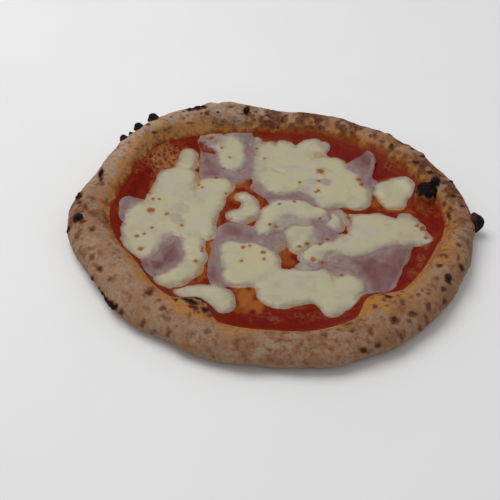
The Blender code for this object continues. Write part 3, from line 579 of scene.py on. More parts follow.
def uneven(points):
    """Carry points (n, 3) of the plain turned dough onto the hand-stretched one."""
    radius = np.hypot(points[:, 0], points[:, 1])
    azimuth = np.arctan2(points[:, 1], points[:, 0])
    height = points[:, 2].copy()
    across = np.clip((radius - PLAIN_FOOT) / (OUTER_RADIUS - PLAIN_FOOT), 0.0, 1.0)
    on_rim = around(OUTER_RADII, azimuth) - around(RIM_WIDTHS, azimuth) * (1.0 - across)
    on_rim -= bubble_push(azimuth) * (1.0 - across) ** 3
    moved = np.where(radius > PLAIN_FOOT, on_rim, radius * foot_radius(azimuth) / PLAIN_FOOT)
    angle = tube_angle(radius, height)
    lumps = rim_waves(azimuth, angle) * smoothstep(0.5, 6.0, height) * smoothstep(0.0, 0.3, across)
    above = np.clip((height - TUBE_HEIGHT) / (PLAIN_CREST - TUBE_HEIGHT), 0.0, 1.0) * (radius > PLAIN_FOOT)
    height += above * (around(CREST_HEIGHTS, azimuth) - PLAIN_CREST)
    height += lumps * np.sin(angle) * above
    moved = moved + lumps * np.cos(angle)
    x = RIM_CENTRE[0] + moved * np.cos(azimuth)
    y = RIM_CENTRE[1] + moved * np.sin(azimuth)
    return np.column_stack([x, y, height])


def rim_point(azimuth, angle):
    """A point of the uneven rim, and the way out of its tube there, angles in degrees."""
    azimuth = math.radians(azimuth)
    angle = math.radians(angle)
    radius, height = plain_section(angle)
    plain = np.array([[radius * math.cos(azimuth), radius * math.sin(azimuth), height]])
    outward = (math.cos(angle) * math.cos(azimuth), math.cos(angle) * math.sin(azimuth), math.sin(angle))
    return uneven(plain)[0], np.array(outward)


def plain_radius(flat):
    """Radius on the plain turned dough of points (n, 2) inside the rim."""
    offset = flat - RIM_CENTRE
    azimuth = np.arctan2(offset[:, 1], offset[:, 0])
    return np.hypot(offset[:, 0], offset[:, 1]) * PLAIN_FOOT / foot_radius(azimuth)


# The camera's line of sight

def eye():
    """The camera's place: EYE_DISTANCE from LOOK_AT, at EYE_ELEVATION over the near side."""
    rise = math.radians(EYE_ELEVATION)
    back = np.array([0.0, -math.cos(rise), math.sin(rise)])
    return np.array(LOOK_AT) + EYE_DISTANCE * back


def on_mark_level(points):
    """Where the line of sight through each point (n, 3) meets MARK_LEVEL, as points (n, 2)."""
    place = eye()
    reach = (place[2] - MARK_LEVEL) / (place[2] - points[:, 2])
    return place[:2] + (points[:, :2] - place[:2]) * reach[:, None]


def towards_eye(points, normals):
    """1 where the surface faces the camera and 0 where it turns away."""
    sight = eye() - points
    sight /= np.linalg.norm(sight, axis=1)[:, None]
    return smoothstep(-0.06, 0.1, (sight * normals).sum(axis=1))


def marked(points, marks, edge):
    """Strongest of the oval marks (x, y, half width, half height, strength), their edges made uneven by noise."""
    size, depth, seed, whole, gone = MARK_EDGES[edge]
    places = on_mark_level(points)
    uneven_edge = 1.0 + depth * soft_noise(points, size, seed)
    strongest = np.zeros(len(points))
    for x, y, half_width, half_height, strength in marks:
        distance = np.hypot((places[:, 0] - x) / half_width, (places[:, 1] - y) / half_height) * uneven_edge
        strongest = np.maximum(strongest, strength * smoothstep(gone, whole, distance))
    return strongest


# Meshes

def turned(radii, heights, columns):
    """Points of a profile of radii and heights turned about +Z, ring by ring."""
    azimuth = np.linspace(0.0, math.tau, columns, endpoint=False)
    x = radii[:, None] * np.cos(azimuth)
    y = radii[:, None] * np.sin(azimuth)
    z = np.broadcast_to(heights[:, None], x.shape)
    return np.stack([x, y, z], axis=-1).reshape(-1, 3)


def pole_faces(ring, pole, columns, flip):
    """Triangles between a ring of points, given by its first index, and a pole."""
    here = ring + np.arange(columns)
    after = ring + (np.arange(columns) + 1) % columns
    order = (after, here) if flip else (here, after)
    return np.column_stack([np.full(columns, pole), *order])


def closed_faces(rows, columns):
    """Faces of turned rings, closed by an upper and a lower pole that come after the rings' points."""
    row = np.arange(rows - 1)[:, None] * columns
    column = np.arange(columns)[None, :]
    after = (column + 1) % columns
    corners = (row + column, row + columns + column, row + columns + after, row + after)
    quads = np.stack(np.broadcast_arrays(*corners), axis=-1).reshape(-1, 4)
    count = rows * columns
    upper = pole_faces(0, count, columns, False)
    return [quads, upper, pole_faces(count - columns, count + 1, columns, True)]


def unit_ball(rows, columns):
    """Points and faces of a ball of radius 1: a turned half circle, its poles last."""
    polar = np.linspace(0.0, math.pi, rows)[1:-1]
    rings = turned(np.sin(polar), np.cos(polar), columns)
    return np.concatenate([rings, [[0, 0, 1], [0, 0, -1]]]), closed_faces(len(polar), columns)


def ring_normals(points, rows, columns):
    """Unit normals of a grid of rings, from the differences between its neighbours."""
    grid = points.reshape(rows, columns, 3)
    along = np.roll(grid, -1, axis=1) - np.roll(grid, 1, axis=1)
    across = np.gradient(grid, axis=0)
    normal = np.cross(across, along)
    normal /= np.maximum(np.linalg.norm(normal, axis=2), 1e-9)[..., None]
    return normal.reshape(-1, 3)


def make_piece(name, points, face_lists, material, values, crease=math.pi):
    """An object from points in millimetres, faces, a material and point values, smooth up to a crease."""
    mesh = bpy.data.meshes.new(name)
    faces = [face for faces in face_lists for face in faces.tolist()]
    mesh.from_pydata((points * MM).tolist(), [], faces)
    mesh.update()
    for key, value in values.items():
        layer = mesh.attributes.new(key, "FLOAT", "POINT")
        layer.data.foreach_set("value", np.asarray(value, np.float32))
    mesh.materials.append(material)
    mesh.shade_smooth()
    if crease < math.pi:
        mesh.set_sharp_from_angle(angle=crease)
    piece = bpy.data.objects.new(name, mesh)
    bpy.context.scene.collection.objects.link(piece)
    return piece


# Flat regions: a field is negative inside the region and about the distance to its edge

def lobes_field(lobes):
    """Smooth union of round lobes: -b log(sum of exp(-(distance - radius) / b)) with b the blend."""
    def field(flat):
        total = np.full(len(flat), 1e-30)
        for x, y, radius in lobes:
            distance = np.hypot(flat[:, 0] - x, flat[:, 1] - y) - radius
            total += np.exp(np.clip(-distance / LOBE_BLEND, -60.0, 60.0))
        return -LOBE_BLEND * np.log(total)
    return field


def cut_corners(corners):
    """The polygon with each corner cut off, a few times over, until it looks round."""
    corners = np.array(corners, float)
    for _ in range(CORNER_CUTS):
        after = np.roll(corners, -1, axis=0)
        pairs = np.stack([0.75 * corners + 0.25 * after, 0.25 * corners + 0.75 * after], axis=1)
        corners = pairs.reshape(-1, 2)
    return corners


def to_segment(flat, start, end):
    """Distance of points (n, 2) to the segment from start to end."""
    side = np.subtract(end, start)
    offset = flat - start
    along = np.clip(offset @ side / (side @ side), 0.0, 1.0)
    gap = offset - along[:, None] * side
    return np.hypot(gap[:, 0], gap[:, 1])


def polygon_field(corners):
    """Signed distance to a round-cornered polygon: the nearest side, and an even-odd test for inside."""
    corners = cut_corners(corners)
    ends = np.roll(corners, -1, axis=0)

    def field(flat):
        inside = np.zeros(len(flat), bool)
        nearest = np.full(len(flat), 1e9)
        for start, end in zip(corners, ends):
            nearest = np.minimum(nearest, to_segment(flat, start, end))
            offset = flat - start
            side = end - start
            crosses = (offset[:, 1] < 0.0) != (offset[:, 1] < side[1])
            turn = offset[:, 0] * side[1] - offset[:, 1] * side[0]
            inside ^= crosses & ((turn < 0.0) == (side[1] > 0.0))
        return np.where(inside, -nearest, nearest)
    return field


def joined(fields):
    """The union of several fields: the least of their distances."""
    def union(flat):
        return np.minimum.reduce([field(flat) for field in fields])
    return union


def trimmed(field, neighbours=()):
    """The field kept short of the sauce's edge and a seam away from its neighbours: the largest distance."""
    def kept(flat):
        past_rim = plain_radius(flat) - TOPPING_EDGE * PLAIN_FOOT
        gaps = [SEAM - neighbour(flat) for neighbour in neighbours]
        return np.maximum.reduce([field(flat), past_rim, *gaps])
    return kept


def ragged(field, amount, seed):
    """The field with its edge moved in and out by noise of two sizes."""
    def uneven_field(flat):
        return field(flat) + amount * noise("ragged edge", at_level(flat), seed)
    return uneven_field


def slice_field(number):
    """The ragged outline of a slice of ham."""
    return trimmed(ragged(polygon_field(HAM_SLICES[number]), HAM_RAGGED, HAM_SEED + number))


def films_of(number):
    """The lobes of a pool's thin films, one tuple for each film."""
    return [lobes for pool, lobes in CHEESE_FILMS if pool == number]


def pool_field(number):
    """A pool with its film."""
    return joined([lobes_field(lobes) for lobes in (CHEESE_POOLS[number], *films_of(number))])


def nearest_cheese(flat):
    """Distance to the nearest pool of mozzarella or its film, negative inside it."""
    return joined([pool_field(number) for number in range(len(CHEESE_POOLS))])(flat)


def square_grid(low, high, spacing):
    """Nodes (n, 2) of a square grid from one corner to another, and its rows and columns."""
    columns, rows = (int(math.ceil((high[axis] - low[axis]) / spacing)) + 1 for axis in (0, 1))
    x = low[0] + spacing * np.arange(columns)
    y = low[1] + spacing * np.arange(rows)
    return np.stack(np.meshgrid(x, y), axis=-1).reshape(-1, 2), rows, columns


def grid_cells(rows, columns, cells):
    """Quads of the chosen cells of a grid, counter-clockwise from above, and the numbers of its nodes."""
    index = np.arange(rows * columns).reshape(rows, columns)
    corners = (index[:-1, :-1], index[:-1, 1:], index[1:, 1:], index[1:, :-1])
    return np.stack([corner[cells] for corner in corners], axis=-1), index


def sheet_grid(field, low, high):
    """A square grid over the region where the field is negative.

    Nodes just outside the region slide down the field's slope onto its edge.
    Returns the nodes (n, 2), the cells as quads and the edge's directed sides.
    """
    flat, rows, columns = square_grid(low, high, SHEET_SPACING)
    inside = (field(flat) < 0.0).reshape(rows, columns)
    cells = inside[:-1, :-1] | inside[1:, :-1] | inside[:-1, 1:] | inside[1:, 1:]
    quads, index = grid_cells(rows, columns, cells)
    padded = np.pad(cells, 1)
    above, below = padded[1:, 1:-1], padded[:-1, 1:-1]
    right, left = padded[1:-1, 1:], padded[1:-1, :-1]
    edges = (
        (index[:, :-1], index[:, 1:], above & ~below), (index[:, 1:], index[:, :-1], below & ~above),
        (index[1:, :], index[:-1, :], right & ~left), (index[:-1, :], index[1:, :], left & ~right),
    )
    sides = np.concatenate([np.column_stack([start[edge], end[edge]]) for start, end, edge in edges])
    used = np.unique(quads)
    renumbered = np.full(rows * columns, -1)
    renumbered[used] = np.arange(len(used))
    flat = flat[used]
    outside = ~inside.ravel()[used]
    step = 0.1 * SHEET_SPACING
    for _ in range(2):
        loose = flat[outside]
        value = field(loose)
        slope = np.column_stack([field(loose + (step, 0.0)) - value, field(loose + (0.0, step)) - value]) / step
        steepness = np.maximum((slope ** 2).sum(axis=1), 0.05)
        flat[outside] = loose - slope * (value / steepness)[:, None]
    return flat, renumbered[quads], renumbered[sides]


def blurred(grid, width):
    """Moving average over a grid of values, three times along each axis, width in cells."""
    half = width // 2
    for axis in (0, 1, 0, 1, 0, 1):
        margins = [(0, 0), (0, 0)]
        margins[axis] = (half + 1, half)
        total = np.cumsum(np.pad(grid, margins), axis=axis)
        here = np.arange(grid.shape[axis])
        grid = (np.take(total, here + 2 * half + 1, axis=axis) - np.take(total, here, axis=axis)) / (2 * half + 1)
    return grid


def softened(field, flat, low, high):
    """Share of the region round each point, 1 deep inside it: its mask on a grid, blurred and then blended."""
    grid, rows, columns = square_grid(low, high, SHEET_SPACING)
    mask = (field(grid) < 0.0).reshape(rows, columns)
    width = 2 * int(round(CHEESE_SOFTNESS / SHEET_SPACING)) + 1
    share = blurred(mask.astype(float), width)
    place = (flat - low) / SHEET_SPACING
    first = np.clip(np.floor(place).astype(int), 0, (columns - 2, rows - 2))
    across, up = (np.clip(place - first, 0.0, 1.0)).T
    column, row = first.T
    lower = share[row, column] * (1.0 - across) + share[row, column + 1] * across
    upper = share[row + 1, column] * (1.0 - across) + share[row + 1, column + 1] * across
    return lower * (1.0 - up) + upper * up


def sheet_mesh(name, region, top, bottom, material, values):
    """A closed sheet over a region: its grid at the top and bottom levels, joined by a wall round the edge."""
    flat, quads, sides = region
    count = len(flat)
    points = np.concatenate([np.column_stack([flat, top]), np.column_stack([flat, bottom])])
    wall = np.column_stack([sides[:, 1], sides[:, 0], sides[:, 0] + count, sides[:, 1] + count])
    doubled = {key: np.tile(value, 2) for key, value in values.items()}
    return make_piece(name, points, [quads, quads[:, ::-1] + count, wall], material, doubled, EDGE_CREASE)


def sheet_normals(flat, quads, top):
    """Unit normals of a sheet's top, the mean of its cells' normals at each node."""
    points = np.column_stack([flat, top])
    a, b, c, d = (points[quads[:, corner]] for corner in range(4))
    normal = np.cross(c - a, d - b)
    total = np.zeros_like(points)
    for corner in range(4):
        np.add.at(total, quads[:, corner], normal)
    return total / np.maximum(np.linalg.norm(total, axis=1), 1e-9)[:, None]


# Shader nodes: a value is a number, a colour or the socket that gives it

def feed(tree, node, inputs):
    """Link each input to the socket that feeds it, or set it to its constant value."""
    for key, value in inputs.items():
        if isinstance(value, bpy.types.NodeSocket):
            tree.links.new(value, node.inputs[key])
        else:
            node.inputs[key].default_value = value


def add_node(tree, kind, inputs, **settings):
    """A node with its settings and inputs."""
    made = tree.nodes.new(kind)
    for key, value in settings.items():
        setattr(made, key, value)
    feed(tree, made, inputs)
    return made


def mix_colours(tree, factor, first, second):
    """Colour between two colours, by a factor from 0 to 1."""
    ends = [end if isinstance(end, bpy.types.NodeSocket) else (*end[:3], 1.0) for end in (first, second)]
    inputs = {0: factor, 6: ends[0], 7: ends[1]}
    return add_node(tree, "ShaderNodeMix", inputs, data_type="RGBA", clamp_factor=True).outputs[2]


def layered(tree, base, layers):
    """A base colour with further colours laid over it in turn, each by its own factor."""
    for factor, colour_above in layers:
        base = mix_colours(tree, factor, base, colour_above)
    return base


def calculate(tree, operation, first, second, clamp=False):
    """The Math node's result of an operation on two values."""
    made = add_node(tree, "ShaderNodeMath", {0: first, 1: second}, operation=operation, use_clamp=clamp)
    return made.outputs[0]


def times(tree, first, *others):
    """Product of values."""
    for other in others:
        first = calculate(tree, "MULTIPLY", first, other)
    return first


def plus(tree, first, *others):
    """Sum of values."""
    for other in others:
        first = calculate(tree, "ADD", first, other)
    return first


def remap(tree, value, low, high, first=0.0, last=1.0):
    """A value from low to high carried smoothly to first to last."""
    inputs = {"Value": value, "From Min": low, "From Max": high, "To Min": first, "To Max": last}
    return add_node(tree, "ShaderNodeMapRange", inputs, interpolation_type="SMOOTHSTEP").outputs["Result"]


def ranged(tree, mask, first, last):
    """A mask from 0 to 1 carried smoothly to first to last."""
    return remap(tree, mask, 0.0, 1.0, first, last)


def attribute(tree, name):
    """A point value of the mesh."""
    return add_node(tree, "ShaderNodeAttribute", {}, attribute_name=name).outputs["Fac"]


def placed(tree, name, output, build, **values):
    """A shader group placed in a material with its own values; it is built once, at its first use."""
    if name not in bpy.data.node_groups:
        group = bpy.data.node_groups.new(name, "ShaderNodeTree")
        for key in values:
            kind = "NodeSocketVector" if key == "Vector" else "NodeSocketFloat"
            group.interface.new_socket(name=key, in_out="INPUT", socket_type=kind)
        group.interface.new_socket(name=output, in_out="OUTPUT", socket_type="NodeSocketFloat")
        start = group.nodes.new("NodeGroupInput")
        end = group.nodes.new("NodeGroupOutput")
        group.links.new(build(group, start.outputs), end.inputs[output])
    return add_node(tree, "ShaderNodeGroup", values, node_tree=bpy.data.node_groups[name]).outputs[0]


def texture_noise(tree, vector, scale, detail, **more):
    """Blender's noise texture."""
    return add_node(tree, "ShaderNodeTexNoise", {"Vector": vector, "Scale": scale, "Detail": detail, **more})


def wandered(tree, vector, scale, reach):
    """Coordinates pushed about by coloured noise of a scale, up to a reach in metres, and that noise."""
    wander = texture_noise(tree, vector, scale, 2.0)
    middle = (0.5, 0.5, 0.5)
    shift = add_node(tree, "ShaderNodeVectorMath", {0: wander.outputs["Color"], 1: middle}, operation="SUBTRACT")
    small = add_node(tree, "ShaderNodeVectorMath", {0: shift.outputs[0], "Scale": reach}, operation="SCALE")
    place = add_node(tree, "ShaderNodeVectorMath", {0: vector, 1: small.outputs[0]}, operation="ADD")
    return place.outputs[0], wander.outputs["Fac"]


def build_mottle(tree, start):
    """Noise of one size over noise of another, cut between two levels."""
    speckle = texture_noise(tree, start["Vector"], start["Scale"], 5.0, Roughness=0.62, Distortion=0.35)
    return remap(tree, speckle.outputs["Fac"], start["Low"], start["High"])


def build_spots(tree, start):
    """Distance to scattered points, cut at uneven sizes, with edges broken by noise and some points left out."""
    place, _ = wandered(tree, start["Vector"], 400.0, 0.0022)
    cells = add_node(tree, "ShaderNodeTexVoronoi", {"Vector": place, "Scale": start["Scale"]})
    split = add_node(tree, "ShaderNodeSeparateColor", {"Color": cells.outputs["Color"]})
    chosen = calculate(tree, "LESS_THAN", split.outputs["Red"], start["Share"])
    size = times(tree, start["Radius"], ranged(tree, split.outputs["Green"], 0.45, 1.0))
    fall = remap(tree, cells.outputs["Distance"], size, times(tree, size, 0.35))
    return times(tree, fall, chosen)


def build_net(tree, start):
    """Distance to the edges between uneven cells, cut to lines that noise breaks up."""
    place, wander = wandered(tree, start["Vector"], 220.0, 0.006)
    cells = add_node(tree, "ShaderNodeTexVoronoi", {"Vector": place, "Scale": 230.0}, feature="DISTANCE_TO_EDGE")
    lines = remap(tree, cells.outputs["Distance"], 0.28, 0.02)
    return times(tree, lines, remap(tree, wander, 0.35, 0.55, 0.35, 1.0))


def build_grain(tree, start):
    """Coarse and fine noise added by weight."""
    coarse = texture_noise(tree, start["Vector"], start["Scale"], 3.0)
    fine = texture_noise(tree, start["Vector"], times(tree, start["Scale"], 4.3), 4.0, Roughness=0.7)
    first = times(tree, coarse.outputs["Fac"], start["Coarse"])
    return plus(tree, first, times(tree, fine.outputs["Fac"], start["Fine"]))


def mottled(tree, vector, scale, low, high):
    """Soft mottling at a scale, cut between two levels of its noise."""
    return placed(tree, "soft_mottle", "Mask", build_mottle, Vector=vector, Scale=scale, Low=low, High=high)


def spotted(tree, vector, scale, radius, share):
    """Round spots of uneven size, on a share of the cells."""
    return placed(tree, "oven_spots", "Mask", build_spots, Vector=vector, Scale=scale, Radius=radius, Share=share)


def new_material(name):
    """A material with its tree, its Principled shader and the object coordinates."""
    material = bpy.data.materials.new(name)
    material.use_nodes = True
    tree = material.node_tree
    coordinates = tree.nodes.new("ShaderNodeTexCoord").outputs["Object"]
    return material, tree, tree.nodes["Principled BSDF"], coordinates


def grained(tree, shader, vector, scale, coarse, fine, strength, depth):
    """Feed the baked grain to the shader's normal, its depth in metres."""
    height = placed(
        tree, "baked_grain", "Height", build_grain, Vector=vector, Scale=scale, Coarse=coarse, Fine=fine,
    )
    bump = add_node(tree, "ShaderNodeBump", {"Height": height, "Strength": strength, "Distance": depth})
    feed(tree, shader, {"Normal": bump.outputs["Normal"]})


# Materials

def crust_material(look):
    """Floury dough, browned by the point value baked, oily by stain and red by smear; paler where the floury mask
    lies, partly dusted flour and partly painted light on the far and far-left rim.
    """
    material, tree, shader, place = new_material("baked_crust")
    heat, stain, dust_and_light, smear = (attribute(tree, name) for name in ("baked", "stain", "dust_and_light", "smear"))
    broad = mottled(tree, place, scale=60.0, low=0.40, high=0.62)
    patches = mottled(tree, place, scale=280.0, low=0.42, high=0.64)
    specks = mottled(tree, place, scale=850.0, low=0.42, high=0.68)
    spots = spotted(tree, place, scale=85.0, radius=0.30, share=0.42)
    crumbs = spotted(tree, place, scale=250.0, radius=0.36, share=0.5)
    # The floury mask pales the dough and brightens the oily band: partly dusted flour, partly painted light on
    # the far and far-left rim
    floured_and_lit = times(tree, dust_and_light, ranged(tree, patches, 1.0, 0.45), ranged(tree, stain, 1.0, 0.2))
    oily = times(tree, stain, ranged(tree, patches, 1.0, 0.8))
    browned = times(tree, crumbs, stain, remap(tree, heat, 0.08, 0.4, 0.15, 0.8))
    broken = times(tree, plus(tree, patches, -0.45), 0.22)
    warm = plus(tree, heat, times(tree, spots, 0.34), browned, broken)
    smear = plus(tree, smear, times(tree, plus(tree, patches, -0.5), 0.3))
    base = layered(tree, look.flour, (
        (broad, look.dough),
        (times(tree, patches, 0.6), look.dough),
        (floured_and_lit, look.dust_and_light),
        (times(tree, specks, 0.32), look.toast),
        (oily, mix_colours(tree, dust_and_light, look.oil, look.butter_and_light)),
        (remap(tree, warm, 0.06, 0.60, 0.0, 0.85), look.toast),
        (remap(tree, warm, 0.45, 0.85), look.scorch),
        (remap(tree, warm, 0.80, 1.02), look.char),
        (remap(tree, smear, 0.03, 0.45, 0.0, 0.85), look.soak),
        (remap(tree, smear, 0.35, 0.9), look.smear),
    ))
    rough = remap(tree, stain, 0.2, 1.0, 0.9, 0.6)
    feed(tree, shader, {"Base Color": base, "Roughness": rough, "Specular IOR Level": 0.06})
    grained(tree, shader, place, scale=260.0, coarse=0.7, fine=0.5, strength=0.6, depth=look.grain)
    return material


def knob_material(look):
    """Blistered charcoal black, brown in its hollows and towards its foot."""
    material, tree, shader, place = new_material("burnt_dough")
    patches = mottled(tree, place, scale=260.0, low=0.50, high=0.70)
    foot = plus(tree, attribute(tree, "foot"), times(tree, patches, 0.2))
    base = layered(tree, look.char, (
        (times(tree, patches, 0.7), look.scorch),
        (remap(tree, foot, 0.6, 1.0), look.scorch),
        (remap(tree, foot, 1.0, 1.3), look.toast),
    ))
    feed(tree, shader, {"Base Color": base, "Roughness": 0.8, "Specular IOR Level": 0.12})
    grained(tree, shader, place, scale=330.0, coarse=0.9, fine=0.5, strength=0.8, depth=look.grain)
    return material


def sauce_material(look):
    """Wet tomato pulp, orange where it is thin or oily and dough-coloured where the dough shows."""
    material, tree, shader, place = new_material("tomato_sauce_wet")
    bare = attribute(tree, "bare")
    broad = mottled(tree, place, scale=110.0, low=0.42, high=0.64)
    pulp = mottled(tree, place, scale=330.0, low=0.44, high=0.68)
    fine = mottled(tree, place, scale=900.0, low=0.46, high=0.70)
    net = placed(tree, "dough_net", "Mask", build_net, Vector=place)
    base = layered(tree, look.deep, (
        (times(tree, broad, 0.7), look.bright),
        (times(tree, pulp, 0.6), look.bright),
        (times(tree, fine, pulp, 0.25), look.oil),
        (times(tree, attribute(tree, "thin"), ranged(tree, pulp, 0.55, 1.0)), look.thin),
        (times(tree, attribute(tree, "oil"), ranged(tree, fine, 0.6, 1.0)), look.oil),
        (times(tree, bare, bare, ranged(tree, broad, 0.2, 0.7)), look.oil),
        (times(tree, bare, net), look.bare),
    ))
    rough = ranged(tree, pulp, 0.38, 0.6)
    feed(tree, shader, {"Base Color": base, "Roughness": rough, "Specular IOR Level": 0.04})
    grained(tree, shader, place, scale=330.0, coarse=0.8, fine=0.4, strength=0.8, depth=0.5 * MM)
    return material


def ham_material(look):
    """Cooked ham: pink flesh in soft streaks, paler by the cheese, with a pale rind."""
    material, tree, shader, place = new_material("cooked_ham")
    along = add_node(tree, "ShaderNodeMapping", {"Vector": place, "Scale": (1.0, 0.45, 1.0)}).outputs["Vector"]
    streaks = mottled(tree, along, scale=120.0, low=0.40, high=0.64)
    flecks = mottled(tree, place, scale=480.0, low=0.50, high=0.74)
    tone = plus(tree, times(tree, attribute(tree, "muscle"), 0.6), times(tree, streaks, 0.4))
    base = layered(tree, look.deep, (
        (tone, look.flesh),
        (times(tree, flecks, 0.22), look.pale),
        (times(tree, attribute(tree, "milky"), ranged(tree, streaks, 0.7, 1.0)), look.pale),
        (times(tree, attribute(tree, "rind"), 0.8), look.rind),
        (times(tree, attribute(tree, "oil"), 0.7), look.oil),
        (attribute(tree, "sauced"), look.sauce),
        (attribute(tree, "speck"), look.speck),
    ))
    rough = ranged(tree, streaks, 0.45, 0.6)
    feed(tree, shader, {"Base Color": base, "Roughness": rough, "Specular IOR Level": 0.22})
    grained(tree, shader, along, scale=420.0, coarse=0.6, fine=0.4, strength=0.3, depth=0.25 * MM)
    return material


def cheese_material(look):
    """Melted mozzarella: cream where it is thick, greyish at its thin edges, with browned specks and oil."""
    material, tree, shader, place = new_material("melted_mozzarella")
    cloud = mottled(tree, place, scale=45.0, low=0.40, high=0.64)
    curd = mottled(tree, place, scale=260.0, low=0.45, high=0.70)
    fine = mottled(tree, place, scale=800.0, low=0.45, high=0.70)
    uneven_edge = times(tree, plus(tree, curd, -0.5), 0.2)
    thin = calculate(tree, "ADD", attribute(tree, "thin"), uneven_edge, clamp=True)
    film = layered(tree, look.film, (
        (attribute(tree, "over_ham"), look.veil),
        (attribute(tree, "faded"), look.flesh),
    ))
    base = layered(tree, look.cream, (
        (cloud, look.milk),
        (times(tree, curd, 0.25), look.milk),
        (attribute(tree, "whey"), look.whey),
        (times(tree, thin, 0.95), film),
        (times(tree, attribute(tree, "rim"), ranged(tree, fine, 0.5, 1.0)), look.rim),
        (times(tree, attribute(tree, "oil"), ranged(tree, fine, 0.6, 1.0)), look.oil),
        (attribute(tree, "sauced"), look.sauce),
        (attribute(tree, "speck"), look.speck),
    ))
    feed(tree, shader, {
        "Base Color": base, "Roughness": ranged(tree, curd, 0.40, 0.58), "Specular IOR Level": 0.22,
        "Coat Weight": 0.2, "Coat Roughness": 0.22,
        "Subsurface Weight": 0.1, "Subsurface Radius": (1.0, 0.8, 0.5), "Subsurface Scale": 0.003,
    })
    grained(tree, shader, place, scale=150.0, coarse=0.9, fine=0.15, strength=0.3, depth=0.5 * MM)
    return material


def floor_material(look):
    """Matt pale floor with the faintest mottling."""
    material, tree, shader, place = new_material("pale_floor")
    cloud = mottled(tree, place, scale=4.0, low=0.3, high=0.7)
    darker = tuple(0.97 * channel for channel in look.floor)
    base = mix_colours(tree, cloud, look.floor, darker)
    feed(tree, shader, {"Base Color": base, "Roughness": 0.9, "Specular IOR Level": 0.1})
    return material


# Pieces

def fillet():
    """The rounded corner between slope and wall: a quadratic curve with its middle point at the wall's foot."""
    t = np.linspace(0.0, 1.0, FILLET_ROWS)
    end_radius, end_height = plain_section(math.radians(FILLET_END))
    radius = (1 - t) ** 2 * FILLET_START + 2 * t * (1 - t) * PLAIN_FOOT + t ** 2 * end_radius
    height = (1 - t) ** 2 * slope_height(FILLET_START) + 2 * t * (1 - t) * WALL_FOOT + t ** 2 * end_height
    return radius, height


def crust_rings():
    """The plain turned dough as rings: out over the floor, up the slope, round the tube and back below."""
    floor = np.linspace(POLE_RADIUS, FLOOR_FLAT, FLOOR_ROWS, endpoint=False)
    slope = np.linspace(FLOOR_FLAT, FILLET_START, SLOPE_ROWS, endpoint=False)
    inside = np.concatenate([floor, slope])
    corner, corner_height = fillet()
    angles = np.radians(np.linspace(FILLET_END, OUTER_ANGLE, TUBE_ROWS + 1)[1:])
    tube, tube_height = plain_section(angles)
    under = np.linspace(tube[-1], POLE_RADIUS, UNDER_ROWS + 1)[1:]
    radii = np.concatenate([inside, corner, tube, under])
    heights = np.concatenate([slope_height(inside), corner_height, tube_height, np.zeros(UNDER_ROWS)])
    return turned(radii, heights, SEGMENTS), len(radii)


def lips(azimuth, angle, points):
    """Heat of the burnt lips, ovals laid out along the rim and across it, their edges uneven."""
    heat = np.zeros(len(points))
    uneven_edge = 1.0 + noise("lips", points)
    for at, tube_at, half_width, half_height, strength in LIPS:
        turn = (azimuth - math.radians(at) + math.pi) % math.tau - math.pi
        along = turn * OUTER_RADIUS / half_width
        across = (angle - math.radians(tube_at)) * 0.5 * TUBE_WIDTH / half_height
        heat = np.maximum(heat, strength * smoothstep(1.7, 0.4, np.hypot(along, across) * uneven_edge))
    return heat


def soaked(points, radius, azimuth, angle):
    """How far the dough above the sauce is soaked with oil, and smeared with sauce, both from 0 to 1."""
    above = np.maximum(points[:, 2] - WALL_FOOT, 0.0)
    climb = np.maximum(radius - PLAIN_FOOT, 0.0) + above
    inner_side = angle > INNER_SIDE
    width = around(STAIN_WIDTHS, azimuth) * (1.0 + noise("stain edge", points))
    stain = smoothstep(1.0, 0.45, climb / width) * inner_side * (0.85 + noise("stain", points))
    smear = smear_share(points[:, :2], azimuth, radius - PLAIN_FOOT + above) * inner_side
    return np.clip(stain, 0.0, 1.0), np.where(radius < PLAIN_FOOT - SMEAR_RUN, 1.0, smear)


def crags(points, azimuth, angle, height):
    """Small relief of the crust: noise of three sizes and creases drawn down the outer wall."""
    along = np.column_stack([
        azimuth * OUTER_RADIUS / CREASE_WIDTH, angle * TUBE_WIDTH / CREASE_LENGTH, np.zeros(len(points)),
    ])
    outer_side = smoothstep(math.radians(85.0), math.radians(45.0), angle)
    return height * (noise("crags", points) + noise("creases", along) * outer_side)


def browned(points, radius, azimuth, angle, burnt):
    """Heat of the crust: uneven browning above, a brown foot outside, burns, and spots below."""
    browning = around(BROWNING, azimuth) * (0.8 + noise("browning", points))
    upper = smoothstep(-0.6, 0.5, np.sin(angle))
    low_wall = smoothstep(7.0, 1.5, points[:, 2]) * smoothstep(PLAIN_FOOT, OUTER_RADIUS - 4.0, radius)
    heat = np.clip(browning, 0.0, BROWN_LIMIT) * upper + 0.35 * low_wall * (1.0 + noise("low wall", points))
    leopard = smoothstep(0.25, 0.75, noise("leopard", points))
    return np.where(points[:, 2] < UNDERSIDE, 0.15 + 0.75 * leopard, np.maximum(heat, burnt))


